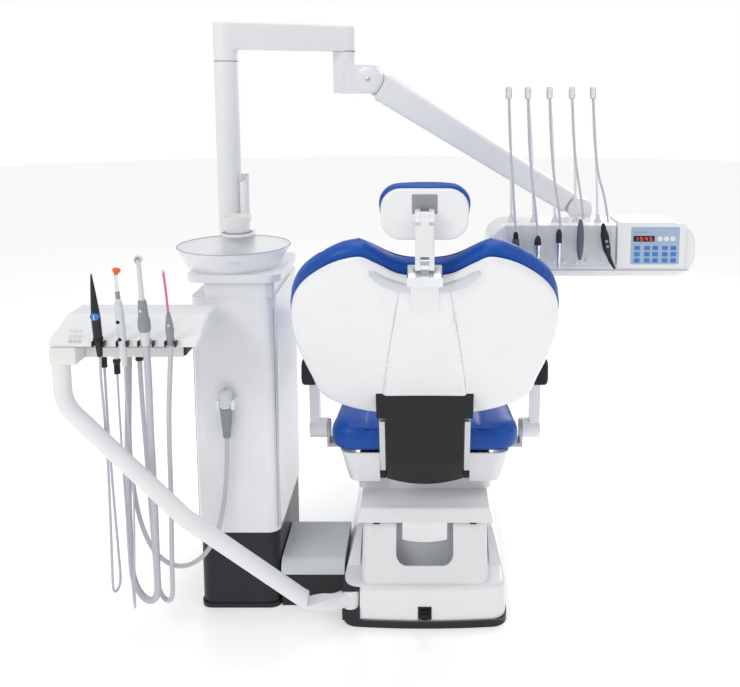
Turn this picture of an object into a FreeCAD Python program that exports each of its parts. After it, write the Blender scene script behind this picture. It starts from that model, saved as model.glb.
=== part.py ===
"""Dental treatment unit: patient chair on a telescopic lift, water tower with
cuspidor, dentist's tray on a balanced arm and assistant's tray on a low arm.

Millimetres.  +Z is up, +Y runs from the headrest to the foot end and +X is on
the right of someone who stands behind the headrest.  The origin lies on the
floor, at the centre of the four floor anchors of the chair base.
"""
import FreeCAD, Part
import Sketcher
import math
import os
import re

from FreeCAD import Placement, Rotation, Vector

DIMENSIONS = {
    # chair base on the floor
    "base_half": 212, "base_rear": -300, "base_front": 345, "base_bow": 1900,
    "base_corner": 42, "plate_top": 20, "gap": 0.3,
    "anchor_x": 300, "anchor_y": 400, "anchor_hole": 7,
    "housing_top": 110, "housing_wall": 9, "housing_edge": 12,
    "wing_inner": 172, "wing_top": 165, "wing_lean": 26, "wing_edge": 9,
    "wing_rear": -215, "wing_crest_rear": -95, "wing_crest_front": 110, "wing_front": 300,
    "socket_half": 17, "socket_low": 27, "socket_high": 58, "socket_deep": 22,
    "flap_drop": 6, "flap_half": 8,
    # pivot of the assistant's arm at the rear left corner of the base
    "pivot_x": -190, "pivot_y": -276, "pivot_low": 50, "pivot_high": 98, "pivot_pin": 8,
    "pocket_right": -166, "pocket_front": -246, "pocket_top": 106,
    # telescopic lift column, three square steel tubes
    "column_outer": 82, "column_step": 9, "column_wall": 7, "column_slip": 0.5,
    "outer_top": 236, "middle_low": 24, "middle_top": 244, "inner_low": 30,
    # lift covers
    "cover_half": 163, "cover_low": 110.3, "cover_top": 245, "cover_wall": 5, "cover_corner": 22,
    "cover_rear_low": -280, "cover_rear_top": -212, "cover_front_low": 235, "cover_front_top": 195,
    "notch_half": 74, "notch_low": 147, "notch_corner": 28,
    "sleeve_half": 150, "sleeve_rear": -200, "sleeve_front": 184, "sleeve_wall": 3,
    "sleeve_low": 66, "sleeve_top": 243, "inner_sleeve_inset": 6,
    # hood and carriage that ride up on the lift
    "hood_low": 251, "hood_high": 284, "hood_half": 178, "hood_top_half": 168,
    "hood_rear": -232, "hood_top_rear": -218, "hood_front": 205, "hood_edge": 7,
    "tongue_half": 58, "tongue_low": 196, "tongue_thick": 7, "tongue_round": 210,
    "carriage_half": 181, "carriage_low": 284.3, "carriage_high": 357,
    "carriage_rear": -110, "carriage_front": 205, "carriage_corner": 26,
    # seat
    "tilt_y": -112, "tilt_z": 370, "tilt_pin": 6, "tilt_lug": 5, "tilt_eye": 11, "tilt_clear": 16,
    "frame_low": 358, "frame_high": 396, "frame_half": 168, "frame_rear": -128, "frame_front": 420,
    "rail_half": 150, "rail_wide": 40, "rail_front": 1020, "rail_low": 372,
    "ear_inner": 96, "ear_thick": 16, "ear_round": 24, "ear_high": 396,
    "pan_half": 226, "pan_low_half": 204, "pan_low": 323, "pan_top": 404, "pan_rear": -152,
    "pan_bend": 430, "pan_front": 1120, "pan_foot_half": 165, "pan_wall": 6, "pan_corner": 34,
    "pan_foot_low": 360, "pan_slot": 140,
    "seat_half": 260, "seat_low": 404.5, "seat_top": 484, "seat_rear": -158, "seat_bend": 430,
    "seat_foot": 1150, "foot_half": 190, "seat_corner": 70, "seat_edge": 24,
    # recline hinge and backrest, measured up the slope of the back
    "hinge_y": -200, "hinge_z": 400, "hinge_pin": 12, "running": 0.05,
    "back_y": -230, "back_z": 555, "back_slope": 55,
    "arm_inner": 97, "arm_thick": 16, "arm_eye": 26,
    "plate_low": 12, "plate_high": 430, "plate_near": 4, "plate_far": 12,
    "guide_low": 350, "guide_high": 512, "guide_half": 30, "guide_far": 34,
    "hood_cap_half": 120, "hood_panel_half": 96, "hood_lip_half": 114,
    "shell_near": 2, "shell_far": 40, "shell_share": 0.97, "back_middle": 290, "shell_edge": 18,
    "cushion_near": -1.5, "cushion_far": -70,
    # headrest
    "slider_half": 20, "slider_near": 19, "slider_far": 27, "slider_low": 366,
    "neck_up": 566, "neck_out": 23, "neck_eye": 13, "neck_pin": 5, "neck_tongue": 9,
    "neck_fork": 20, "cap_half": 38, "cap_low": 518, "cap_high": 549, "cap_near": 8, "cap_far": 44,
    "head_y": -566, "head_z": 1104, "head_eye": 12, "link_deep": 7, "link_edge": 5, "head_edge": 6,
    "head_slope": 82, "head_half": 101, "head_low": -66, "head_top": 60, "head_corner": 44,
    "head_near": -22, "head_far": -37, "head_pad": -88, "head_inset": 8, "head_lug_near": -13,
    # armrests
    "rest_y": -40, "rest_z": 430, "rest_hub": 27, "rest_pin": 12, "rest_pin_end": 298,
    "bracket_half": 25, "bracket_low": 384, "bracket_thick": 10, "bracket_near": 262,
    "bracket_far": 269, "lever_near": 269.5, "lever_far": 316, "lever_blade": 290,
    "lever_half": 18, "lever_top": 591, "lever_lean": 12,
    "rest_pad_half": 23, "rest_pad_x": 302, "rest_pad_low": 592, "rest_pad_high": 662,
    "rest_pad_rear": -165, "rest_pad_front": 65, "rest_pad_fall": 14, "rest_pad_edge": 13,
    # tower
    "tower_left": -594, "tower_right": -380, "tower_rear": -211, "tower_front": 175,
    "tower_corner": 30, "plinth_top": 212, "plinth_strip": 12, "strip_step": 3,
    "tower_top": 843, "tower_wall": 4,
    "tray_link_rear": -200, "tray_link_front": 20, "link_high": 89, "link_cover_high": 128,
    "duct_edge": 26,
    "post_x": -554, "post_y": 100, "post_radius": 33, "post_top": 1439, "post_low": 300,
    "post_bore": 21, "post_bore_deep": 60, "stay_half": 40, "stay_low": 212.5, "stay_wall": 6,
    # cuspidor
    "ring_radius": 46, "ring_low": 846, "ring_high": 904, "bowl_x": -499, "bowl_y": -112,
    "neck_left": -560, "neck_right": -385, "neck_rear": -214, "neck_front": 98,
    "rim_left": -598, "rim_right": -362, "rim_rear": -232, "rim_low": 886, "rim_high": 905,
    "rim_corner": 34, "bowl_foot": 118, "bowl_rim": 147, "bowl_low": 905.4, "bowl_high": 960,
    "bowl_wall": 4, "drain": 16,
    "stand_x": -519, "stand_half": 43, "stand_rear": 38, "stand_front": 62, "stand_high": 962,
    "shelf_y": 22, "shelf_thick": 8, "cup_high": 1016, "cup_rim": 40, "cup_foot": 33, "cup_wall": 2,
    "spout_x": -508, "spout_y": 80, "spout_radius": 13, "spout_high": 1128, "spout_edge": 6,
    # swing bar, knuckle and balance arm of the dentist's tray
    "bar_low": 1472, "bar_high": 1548, "bar_half": 31, "bar_end_x": -240, "bar_end_y": 270,
    "bar_edge": 8, "bar_end_round": 30, "spigot": 20.95,
    "hub_radius": 33, "hub_low": 1349, "hub_pin": 12, "reach": 80, "heading": -10, "elbow_z": 1390,
    "cheek_radius": 42, "cheek_outer": 31, "cheek_inner": 15, "elbow_pin": 10, "slot_start": 36,
    "arm_slope": 31, "arm_length": 725, "arm_tall": 84, "arm_end_tall": 64, "arm_edge": 10,
    "arm_start": 45, "arm_stop": 40, "tongue_slip": 0.5, "elbow_tongue": 41, "wrist_tongue": 33,
    "wrist_radius": 34, "wrist_cheek": 22, "wrist_drop": 52, "wrist_foot": 66, "wrist_pin": 16,
    "wrist_pin_low": 108,
    # dentist's tray
    "tray_left": 171, "tray_right": 737, "tray_low": 855, "tray_high": 1001,
    "tray_rear": -30, "tray_front": 100, "tray_corner": 58, "tray_edge": 12, "tray_wall": 7,
    "neck_block": 36, "neck_block_front": 186, "neck_block_low": 872, "neck_block_high": 949,
    "holder_left": 216, "holder_right": 516, "holder_low": 882, "holder_high": 1000,
    "holder_thick": 12, "holder_front": -42, "holder_edge": 5,
    "panel_left": 520, "panel_right": 702, "panel_low": 884, "panel_high": 1006,
    "panel_thick": 14, "panel_edge": 6, "slab_left": 524, "slab_right": 680, "slab_thick": 7,
    "slab_depth": 120,
    "whip_radius": 3.5, "whip_foot_z": 1001, "whip_foot_y": 10, "whip_lean": 30,
    "whip_top": 1368, "clip_long": 30, "clip_radius": 5.5, "clip_forward": 12,
    "tray_hose": 3.2, "hose_gap": 0.8, "clip_web": 4,
    "handle_y": -66, "cradle_half": 6, "cradle_low": 932, "cradle_high": 950, "cradle_reach": -53.6,
    # assistant's arm and tray
    "tube_radius": 20.5, "tube_bend": 90, "assist_left": -855, "assist_right": -515,
    "assist_rear": -440, "assist_front": -238, "assist_low": 786, "assist_lip": 802,
    "assist_high": 834, "assist_crest": -330, "assist_edge": 9,
    "carrier_left": -848, "carrier_right": -563, "carrier_rear": -446, "carrier_front": -240,
    "carrier_step": -792, "carrier_inner": -388,
    "carrier_low": 746,
    "lean": 8, "instrument_y": -448, "parked_x": -504.5, "parked_y": -234, "parked_low": 484,
    "parked_long": 128, "back_guide": 200, "cover_reach": 20, "cover_rise": 122, "cover_floor": 13,
    "arm_pocket": 112, "arm_foot": -10,
    "parked_radius": 17, "clip_half": 13, "clip_low": 560, "clip_high": 584,
}

# Right half of the back's outline: distance up the slope and half width, bottom to top notch.
BACK_OUTLINE = [(0, 121), (64, 249), (160, 282), (305, 308), (420, 304), (496, 275),
                (556, 211), (580, 146), (562, 109), (530, 64), (521, 30), (521, 0)]
for number, (up, half) in enumerate(BACK_OUTLINE):
    DIMENSIONS["back_up_%d" % number] = up
    DIMENSIONS["back_half_%d" % number] = half

# Side outlines (Y, Z) of the dark cover behind the recline hinge, each by its half width.
HINGE_COVER = {
    "hood_panel_half": [(-318, 632), (-300, 560), (-284, 500), (-268, 440), (-252, 400), (-234, 372),
                        (-222, 374), (-238, 404), (-254, 444), (-269, 500), (-284, 556), (-298, 620)],
    "hood_cap_half": [(-320, 634), (-302, 562), (-286, 566), (-300, 630)],
    "hood_lip_half": [(-245, 386), (-236, 368), (-220, 370), (-231, 390)],
}

doc = FreeCAD.newDocument("dental_unit")
sheet = doc.addObject("Spreadsheet::Sheet", "Dims")
for row, (alias, size) in enumerate(DIMENSIONS.items(), start=1):
    sheet.set("A%d" % row, alias)
    sheet.set("B%d" % row, str(size))
    sheet.setAlias("B%d" % row, alias)
doc.recompute()

NODES = {}


def dim(name):
    """One driving dimension, read back from the sheet."""
    return float(sheet.get(name))


def on_sheet(text):
    """Point every dimension that an expression names at the sheet."""
    return re.sub(
        r"[a-z]\w+", lambda word: "Dims." + word.group() if word.group() in DIMENSIONS else word.group(),
        str(text),
    )


def bind(item, sizes):
    """Bind properties of an object to expressions on the sheet."""
    for name, size in sizes.items():
        item.setExpression(name, on_sheet(size))
    return item


def keep(name, item, placement=None):
    """Make an object the sub-part of that name."""
    if placement is not None:
        item.Placement = placement
    item.Label = name
    NODES[name] = item
    return item


# ---- primitives -------------------------------------------------------------

def block(low, high):
    """Box between two corners, each three expressions."""
    sizes = {}
    for side, axis, start, stop in zip(("Length", "Width", "Height"), "xyz", low, high):
        sizes[side] = "(%s)-(%s)" % (stop, start)
        sizes["Placement.Base." + axis] = start
    return bind(doc.addObject("Part::Box", "Block"), sizes)


def drum(foot, radius, length, along="z"):
    """Cylinder that starts at foot and runs along an axis of the frame."""
    item = doc.addObject("Part::Cylinder", "Drum")
    turns = {"x": Rotation(Vector(0, 1, 0), 90), "y": Rotation(Vector(1, 0, 0), -90), "z": Rotation()}
    item.Placement = Placement(Vector(), turns[along])
    sizes = {"Radius": radius, "Height": length}
    sizes.update(zip(("Placement.Base.x", "Placement.Base.y", "Placement.Base.z"), foot))
    return bind(item, sizes)


def cone(foot, radius_low, radius_high, length):
    """Upright cone or taper."""
    item = doc.addObject("Part::Cone", "Cone")
    sizes = {"Radius1": radius_low, "Radius2": radius_high, "Height": length}
    sizes.update(zip(("Placement.Base.x", "Placement.Base.y", "Placement.Base.z"), foot))
    return bind(item, sizes)


def tapered(low, high, bottom, top):
    """Solid between a rectangle at height bottom and one at height top.

    Each rectangle is (x low, x high, y low, y high), in expressions.
    """
    item = doc.addObject("Part::Wedge", "Tapered")
    item.Placement = Placement(Vector(), Rotation(Vector(1, 0, 0), 90))
    return bind(item, {
        "Xmin": low[0], "Xmax": low[1], "Zmin": "-(%s)" % low[3], "Zmax": "-(%s)" % low[2],
        "X2min": high[0], "X2max": high[1], "Z2min": "-(%s)" % high[3], "Z2max": "-(%s)" % high[2],
        "Ymin": bottom, "Ymax": top,
    })


def profile(plane, points, start, stop):
    """Body padded from an outline, between two places along the plane's axis."""
    body = doc.addObject("PartDesign::Body", "Profile")
    outline = body.newObject("Sketcher::SketchObject", "Outline")
    origin = [item for item in body.Origin.OriginFeatures if item.Role == plane + "_Plane"][0]
    outline.AttachmentSupport = (origin, [""])
    outline.MapMode = "FlatFace"
    count = len(points)
    rough = [Vector(math.cos(math.tau * k / count), math.sin(math.tau * k / count), 0) for k in range(count)]
    for k in range(count):
        outline.addGeometry(Part.LineSegment(rough[k], rough[(k + 1) % count]))
    for k in range(count):
        outline.addConstraint(Sketcher.Constraint("Coincident", k, 2, (k + 1) % count, 1))
    values = {}
    for k, corner in enumerate(points):
        for kind, size in zip(("DistanceX", "DistanceY"), corner):
            index = outline.addConstraint(Sketcher.Constraint(kind, -1, 1, k, 1, 1.0))
            values["Constraints[%d]" % index] = size
    bind(outline, values)
    pad = body.newObject("PartDesign::Pad", "Pad")
    pad.Profile = outline
    pad.Reversed = plane == "XZ"
    bind(pad, {"Length": "(%s)-(%s)" % (stop, start)})
    body.Tip = pad
    axis = {"XY": "z", "XZ": "y", "YZ": "x"}[plane]
    return bind(body, {"Placement.Base." + axis: start})


def turned(points, long, wide):
    """Body of revolution about Z; points are (height, radius) as shares of long and wide."""
    body = doc.addObject("PartDesign::Body", "Turned")
    outline = body.newObject("Sketcher::SketchObject", "Outline")
    origin = [item for item in body.Origin.OriginFeatures if item.Role == "XZ_Plane"][0]
    outline.AttachmentSupport = (origin, [""])
    outline.MapMode = "FlatFace"
    corners = [(0, points[0][0])] + [(across, up) for up, across in points] + [(0, points[-1][0])]
    spots = [Vector(across * wide, up * long, 0) for across, up in corners]
    for k, spot in enumerate(spots):
        outline.addGeometry(Part.LineSegment(spot, spots[(k + 1) % len(spots)]))
    turn = body.newObject("PartDesign::Revolution", "Turn")
    turn.Profile = outline
    turn.ReferenceAxis = (outline, ["V_Axis"])
    turn.Angle = 360
    body.Tip = turn
    return body


# ---- booleans and edges -----------------------------------------------------

def fuse(*items):
    item = doc.addObject("Part::MultiFuse", "Fuse")
    item.Shapes = list(items)
    item.Refine = True
    return item


def cut(base, *tools):
    item = doc.addObject("Part::Cut", "Cut")
    item.Base = base
    item.Tool = tools[0] if len(tools) == 1 else fuse(*tools)
    item.Refine = True
    return item


def common(base, tool):
    item = doc.addObject("Part::Common", "Common")
    item.Base = base
    item.Tool = tool
    return item


def mirrored(item):
    """The same piece on the other side of the chair's middle plane."""
    twin = doc.addObject("Part::Mirroring", "Mirrored")
    twin.Source = item
    twin.Normal = (1, 0, 0)
    return twin


def rounded(item, radius, chosen):
    """Fillet the edges for which chosen(middle, direction) is true."""
    doc.recompute()
    edges = []
    for number, edge in enumerate(item.Shape.Edges, start=1):
        middle = edge.valueAt((edge.FirstParameter + edge.LastParameter) / 2)
        way = edge.tangentAt((edge.FirstParameter + edge.LastParameter) / 2)
        if chosen(middle, way):
            edges.append((number, dim(radius), dim(radius)))
    smooth = doc.addObject("Part::Fillet", "Rounded")
    smooth.Base = item
    smooth.Edges = edges
    return smooth


def along(axis):
    """Chooser for edges that run along one axis of the frame."""
    number = "xyz".index(axis)
    return lambda middle, way: abs(way[number]) > 0.999


def at(axis, place):
    """Chooser for edges that lie at one height, or at one place along X or Y."""
    number = "xyz".index(axis)
    return lambda middle, way: abs(middle[number] - dim(place)) < 0.01 and abs(way[number]) < 0.01


# ---- bent tubes -------------------------------------------------------------

def bent_path(points, radius=None):
    """Straight runs joined by tangent arcs; each arc is as large as its runs allow."""
    spots = [Vector(*spot) for spot in points]
    edges, radii, start = [], [], spots[0]
    for before, corner, after in zip(spots, spots[1:], spots[2:]):
        inward = (before - corner).normalize()
        onward = (after - corner).normalize()
        half_turn = (math.pi - inward.getAngle(onward)) / 2
        shorter = min((before - corner).Length, (after - corner).Length)
        setback = 0.45 * shorter
        if radius is not None:
            setback = min(setback, radius * math.tan(half_turn))
        bend = setback / math.tan(half_turn)
        first = corner + inward * setback
        last = corner + onward * setback
        centre = corner + (inward + onward).normalize() * (bend / math.cos(half_turn))
        middle = centre + (corner - centre).normalize() * bend
        edges.append(Part.LineSegment(start, first).toShape())
        edges.append(Part.Arc(first, middle, last).toShape())
        radii.append(bend)
        start = last
    edges.append(Part.LineSegment(start, spots[-1]).toShape())
    return Part.Wire(edges), radii


def tube_shape(points, radius, bend=None):
    """Solid round tube along a bent path, with its volume compared with section times length."""
    path, radii = bent_path(points, bend)
    first = path.Edges[0]
    ring = Part.Wire(Part.makeCircle(radius, first.valueAt(first.FirstParameter),
                                     first.tangentAt(first.FirstParameter)))
    solid = path.makePipeShell([ring], True, True)
    expected = math.pi * radius ** 2 * path.Length
    share = solid.Volume / expected
    print("  tube %.0f mm long, radii %s mm, volume share %.4f" % (
        path.Length, " ".join("%.0f" % size for size in radii), share))
    if abs(share - 1) > 0.01:
        raise RuntimeError("tube volume is wrong")
    return solid


def feature(shape):
    item = doc.addObject("Part::Feature", "Shape")
    item.Shape = shape
    return item


# ---- chair base and lift ----------------------------------------------------

def footprint(low, high, inset):
    """Plan of the chair base: rounded corners and a slightly bowed rear edge."""
    plan = block(("-base_half+%s" % inset, "base_rear+%s" % inset, low),
                 ("base_half-%s" % inset, "base_front-%s" % inset, high))
    bow = drum(("0", "base_rear+base_bow+%s" % inset, low), "base_bow", "(%s)-(%s)" % (high, low))
    return rounded(common(plan, bow), "base_corner", along("z"))


def base_plate():
    holes = [drum(("%s*anchor_x/2" % x, "%s*anchor_y/2" % y, "0"), "anchor_hole", "plate_top")
             for x in (-1, 1) for y in (-1, 1)]
    keep("base_plate", cut(footprint("0", "plate_top", "0"), *holes))


def side_wing():
    """Raised flank on the right of the lift, falling towards both ends."""
    section = profile("XZ", [("wing_inner", "housing_top-housing_wall"),
                             ("base_half-gap*10", "housing_top-housing_wall"),
                             ("base_half-gap*10", "housing_top-housing_edge"),
                             ("base_half-wing_lean", "wing_top"), ("wing_inner", "wing_top")],
                      "wing_rear", "wing_front")
    slope = profile("YZ", [("wing_rear", "housing_top-housing_wall"),
                           ("wing_front", "housing_top-housing_wall"),
                           ("wing_front", "housing_top-housing_edge"),
                           ("wing_crest_front", "wing_top"), ("wing_crest_rear", "wing_top"),
                           ("wing_rear", "housing_top-housing_edge")], "wing_inner", "base_half")
    return common(section, slope)


def base_housing():
    shell = rounded(footprint("plate_top+gap", "housing_top", "gap*10"), "housing_edge",
                    at("z", "housing_top"))
    wing = side_wing()
    hollow = block(("-base_half+2*housing_wall", "base_rear+3*housing_wall", "plate_top"),
                   ("base_half-2*housing_wall", "base_front-2*housing_wall",
                    "housing_top-housing_wall"))
    shaft = block(("-sleeve_half-cover_wall", "sleeve_rear-cover_wall", "0"),
                  ("sleeve_half+cover_wall", "sleeve_front+cover_wall", "wing_top"))
    corner = block(("-base_half-1", "base_rear-1", "0"),
                   ("pocket_right+gap", "pocket_front+gap", "pocket_top+gap"))
    socket = block(("-socket_half-gap", "base_rear-1", "socket_low-flap_drop-gap"),
                   ("socket_half+gap", "base_rear+3*housing_wall+1", "socket_high+gap"))
    keep("base_housing", cut(fuse(shell, wing, mirrored(wing)), hollow, shaft, corner, socket))


def service_socket():
    body = block(("-socket_half", "base_rear+1", "socket_low"),
                 ("socket_half", "base_rear+socket_deep", "socket_high"))
    flap = block(("-flap_half", "base_rear+4", "socket_low-flap_drop"),
                 ("flap_half", "base_rear+8", "socket_high-10"))
    keep("service_socket", cut(fuse(body, flap), block(
        ("-flap_half-4", "base_rear", "socket_high-9"),
        ("flap_half+4", "base_rear+socket_deep-6", "socket_high-5"))))


def arm_socket():
    """Dark corner block with the upright pin that the assistant's arm swings on."""
    foot = block(("-base_half+gap*4", "base_rear+6", "plate_top+gap"),
                 ("pocket_right", "pocket_front", "pivot_low"))
    head = block(("-base_half+gap*4", "base_rear+6", "pivot_high"),
                 ("pocket_right", "pocket_front", "pocket_top"))
    back = block(("-base_half+gap*4", "pocket_front-5", "plate_top+gap"),
                 ("pocket_right", "pocket_front", "pocket_top"))
    pin = drum(("pivot_x", "pivot_y", "plate_top+gap"), "pivot_pin", "pocket_top-plate_top-gap")
    keep("arm_socket", fuse(foot, head, back, pin))


def square_tube(half, wall, low, high):
    outer = block(("-(%s)" % half, "-(%s)" % half, low), (half, half, high))
    bore = "(%s)-(%s)" % (half, wall)
    return cut(outer, block(("-(%s)" % bore, "-(%s)" % bore, low), (bore, bore, high)))


def lift_columns():
    reach = "column_outer-column_wall-column_slip"
    inner = "%s-column_wall-column_slip" % reach
    keep("lift_column_outer", square_tube("column_outer", "column_wall", "plate_top+gap", "outer_top"))
    keep("lift_column_middle", square_tube(reach, "column_wall", "middle_low", "middle_top"))
    keep("lift_column_inner", square_tube(inner, "column_wall", "inner_low", "carriage_low"))


def lift_cover():
    outer = tapered(("-cover_half", "cover_half", "cover_rear_low", "cover_front_low"),
                    ("-cover_half", "cover_half", "cover_rear_top", "cover_front_top"),
                    "cover_low", "cover_top")
    wall = "cover_half-cover_wall"
    inner = tapered(("-(%s)" % wall, wall, "cover_rear_low+cover_wall", "cover_front_low-cover_wall"),
                    ("-(%s)" % wall, wall, "cover_rear_top+cover_wall", "cover_front_top-cover_wall"),
                    "cover_low", "cover_top")
    steep = (lambda middle, way: abs(way[2]) > 0.8)
    notch = rounded(block(("-notch_half", "cover_rear_low-1", "notch_low"),
                          ("notch_half", "sleeve_rear", "cover_top+notch_corner*2")),
                    "notch_corner", along("y"))
    keep("lift_cover", cut(rounded(outer, "cover_corner", steep),
                           rounded(inner, "cover_corner", steep), notch))


def sleeve(half, rear, front, low, high):
    outer = rounded(block(("-(%s)" % half, rear, low), (half, front, high)), "shell_edge", along("z"))
    inner = block(("-(%s)+sleeve_wall" % half, "%s+sleeve_wall" % rear, low),
                  ("%s-sleeve_wall" % half, "%s-sleeve_wall" % front, high))
    return cut(outer, rounded(inner, "shell_edge", along("z")))


def lift_sleeve():
    keep("lift_sleeve", sleeve("sleeve_half", "sleeve_rear", "sleeve_front", "sleeve_low", "sleeve_top"))


def lift_hood():
    """Shelf over the lift with a tongue that hangs into the notch of the cover."""
    shelf = tapered(("-hood_half", "hood_half", "hood_rear", "hood_front"),
                    ("-hood_top_half", "hood_top_half", "hood_top_rear", "hood_front-2"),
                    "hood_low", "hood_high")
    shelf = rounded(shelf, "hood_edge", lambda middle, way: not along("y")(middle, way)
                    and not at("z", "hood_low")(middle, way))
    shaft = block(("-column_outer+column_wall*2", "-column_outer+column_wall*2", "hood_low-1"),
                  ("column_outer-column_wall*2", "column_outer-column_wall*2", "hood_high+1"))
    tongue = common(block(("-tongue_half", "hood_rear+2", "tongue_low"),
                          ("tongue_half", "hood_rear+2+tongue_thick", "hood_low+5")),
                    drum(("0", "hood_rear", "tongue_low+tongue_round"), "tongue_round",
                         "tongue_thick*3", "y"))
    inset = "sleeve_half-inner_sleeve_inset"
    skirt = sleeve(inset, "sleeve_rear+inner_sleeve_inset", "sleeve_front-inner_sleeve_inset",
                   "sleeve_low", "hood_low+5")
    keep("lift_hood", cut(fuse(shelf, tongue, skirt), shaft))


def carriage():
    box = rounded(block(("-carriage_half", "carriage_rear", "carriage_low"),
                        ("carriage_half", "carriage_front", "carriage_high")),
                  "carriage_corner", along("z"))
    hollow = block(("-carriage_half+2*cover_wall", "carriage_rear+2*cover_wall", "hood_high+2*cover_wall"),
                   ("carriage_half-2*cover_wall", "carriage_front-2*cover_wall", "carriage_high"))
    lugs = []
    for side in (-1, 1):
        lugs.append(block(("%s*rail_half-tilt_lug" % side, "tilt_y-tilt_eye", "carriage_high-4*cover_wall"),
                          ("%s*rail_half+tilt_lug" % side, "tilt_y+tilt_eye", "tilt_z+tilt_eye")))
        lugs.append(tilt_axle(side, "tilt_pin"))
    keep("carriage", fuse(cut(box, hollow), *lugs))


def tilt_axle(side, radius):
    """Short pin of the seat's tilt hinge on one side, or its bore."""
    return drum(("%s*rail_half-3*tilt_lug" % side, "tilt_y", "tilt_z"), radius, "6*tilt_lug", "x")


def tilt_pocket(side):
    """Clearance in the seat frame around one lug of the carriage."""
    return block(("%s*rail_half-tilt_lug-1" % side, "tilt_y-tilt_clear", "frame_low-1"),
                 ("%s*rail_half+tilt_lug+1" % side, "tilt_y+tilt_clear", "frame_high+1"))


# ---- seat -------------------------------------------------------------------

def armrest_bracket():
    """Step that carries the right armrest's pin out from under the cushion."""
    step = block(("frame_half-5", "rest_y-bracket_half", "bracket_low"),
                 ("bracket_far", "rest_y+bracket_half", "bracket_low+bracket_thick"))
    plate = block(("bracket_near", "rest_y-bracket_half", "bracket_low"),
                  ("bracket_far", "rest_y+bracket_half", "rest_z"))
    eye = drum(("bracket_near", "rest_y", "rest_z"), "rest_hub-2", "bracket_far-bracket_near", "x")
    pin = drum(("bracket_near", "rest_y", "rest_z"), "rest_pin", "rest_pin_end-bracket_near", "x")
    return fuse(step, plate, eye, pin)


def seat_frame():
    deck = block(("-frame_half", "frame_rear", "frame_low"), ("frame_half", "frame_front", "frame_high"))
    core = block(("-frame_half+rail_wide", "frame_rear+rail_wide", "frame_low+cover_wall*3"),
                 ("frame_half-rail_wide", "frame_front-rail_wide", "frame_high"))
    rails = [block(("%s*rail_half/2-rail_wide/2" % side, "frame_front-1", "rail_low"),
                   ("%s*rail_half/2+rail_wide/2" % side, "rail_front", "frame_high"))
             for side in (-1, 1)]
    ears = []
    for side in (-1, 1):
        near = "%s*(ear_inner-ear_thick/2)-ear_thick/2" % side
        eye = drum((near, "hinge_y", "hinge_z"), "ear_round", "ear_thick", "x")
        web = block((near, "hinge_y", "hinge_z-ear_round+5"),
                    (near + "+ear_thick", "frame_rear+5", "ear_high"))
        ears.append(cut(fuse(eye, web), drum((near, "hinge_y", "hinge_z"), "hinge_pin+running",
                                             "ear_thick", "x")))
    bracket = armrest_bracket()
    hollows = [core] + [tilt_pocket(side) for side in (-1, 1)]
    hollows += [tilt_axle(side, "tilt_pin+running") for side in (-1, 1)]
    keep("seat_frame", fuse(cut(deck, *hollows), *rails, *ears, bracket, mirrored(bracket)))


def pan_part(inset):
    """White pan under the cushion, or its hollow when inset by the wall."""
    rear = tapered(("-pan_low_half+%s" % inset, "pan_low_half-%s" % inset,
                    "pan_rear+pan_wall+%s" % inset, "pan_bend-%s" % inset),
                   ("-pan_half+%s" % inset, "pan_half-%s" % inset, "pan_rear+%s" % inset,
                    "pan_bend-%s" % inset),
                   "pan_low", "pan_top")
    front = profile("YZ", [("pan_bend-1", "pan_low+%s*4" % inset), ("pan_front-%s" % inset, "pan_foot_low"),
                           ("pan_front-%s" % inset, "pan_top"), ("pan_bend-1", "pan_top")],
                    "-pan_foot_half+%s" % inset, "pan_foot_half-%s" % inset)
    return rear, front


def seat_pan():
    rear, front = pan_part("0")
    steep = (lambda middle, way: abs(way[2]) > 0.8 and middle[1] < 0)
    outer = fuse(rounded(rear, "pan_corner", steep), front)
    inner_rear, inner_front = pan_part("pan_wall")
    slots = [block(("%s*pan_half-pan_wall*5" % side, "rest_y-bracket_half-2", "bracket_low-2"),
                   ("%s*pan_half+pan_wall*5" % side, "rest_y+bracket_half+2", "pan_top+1"))
             for side in (-1, 1)]
    throat = block(("-pan_slot+20", "pan_rear-1", "pan_low-1"),
                   ("pan_slot-20", "pan_rear+4*pan_wall", "pan_top+1"))
    passage = block(("-rail_half/2-rail_wide", "pan_bend-4*pan_wall", "rail_low-pan_wall"),
                    ("rail_half/2+rail_wide", "pan_bend+pan_wall", "pan_top+1"))
    keep("seat_pan", cut(outer, rounded(inner_rear, "pan_corner", steep), inner_front, throat, passage,
                         *slots))


def seat_cushion():
    plan = profile("XY", [("-seat_half", "seat_rear"), ("seat_half", "seat_rear"),
                          ("seat_half", "seat_bend"), ("foot_half", "seat_foot"),
                          ("-foot_half", "seat_foot"), ("-seat_half", "seat_bend")],
                   "seat_low", "seat_top")
    corners = rounded(plan, "seat_corner", along("z"))
    keep("seat_cushion", rounded(corners, "seat_edge", at("z", "seat_top")))


# ---- backrest, built flat and laid on its slope -----------------------------

def back_placement():
    """X across, Y up the slope and Z out of the back, away from the patient."""
    return Placement(Vector(0, dim("back_y"), dim("back_z")),
                     Rotation(Vector(1, 0, 0), 180 - dim("back_slope")))


def back_point(up, out):
    """A point of the backrest's middle plane in the chair's frame, as (y, z)."""
    spot = back_placement().multVec(Vector(0, up, out))
    return spot.y, spot.z


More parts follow.
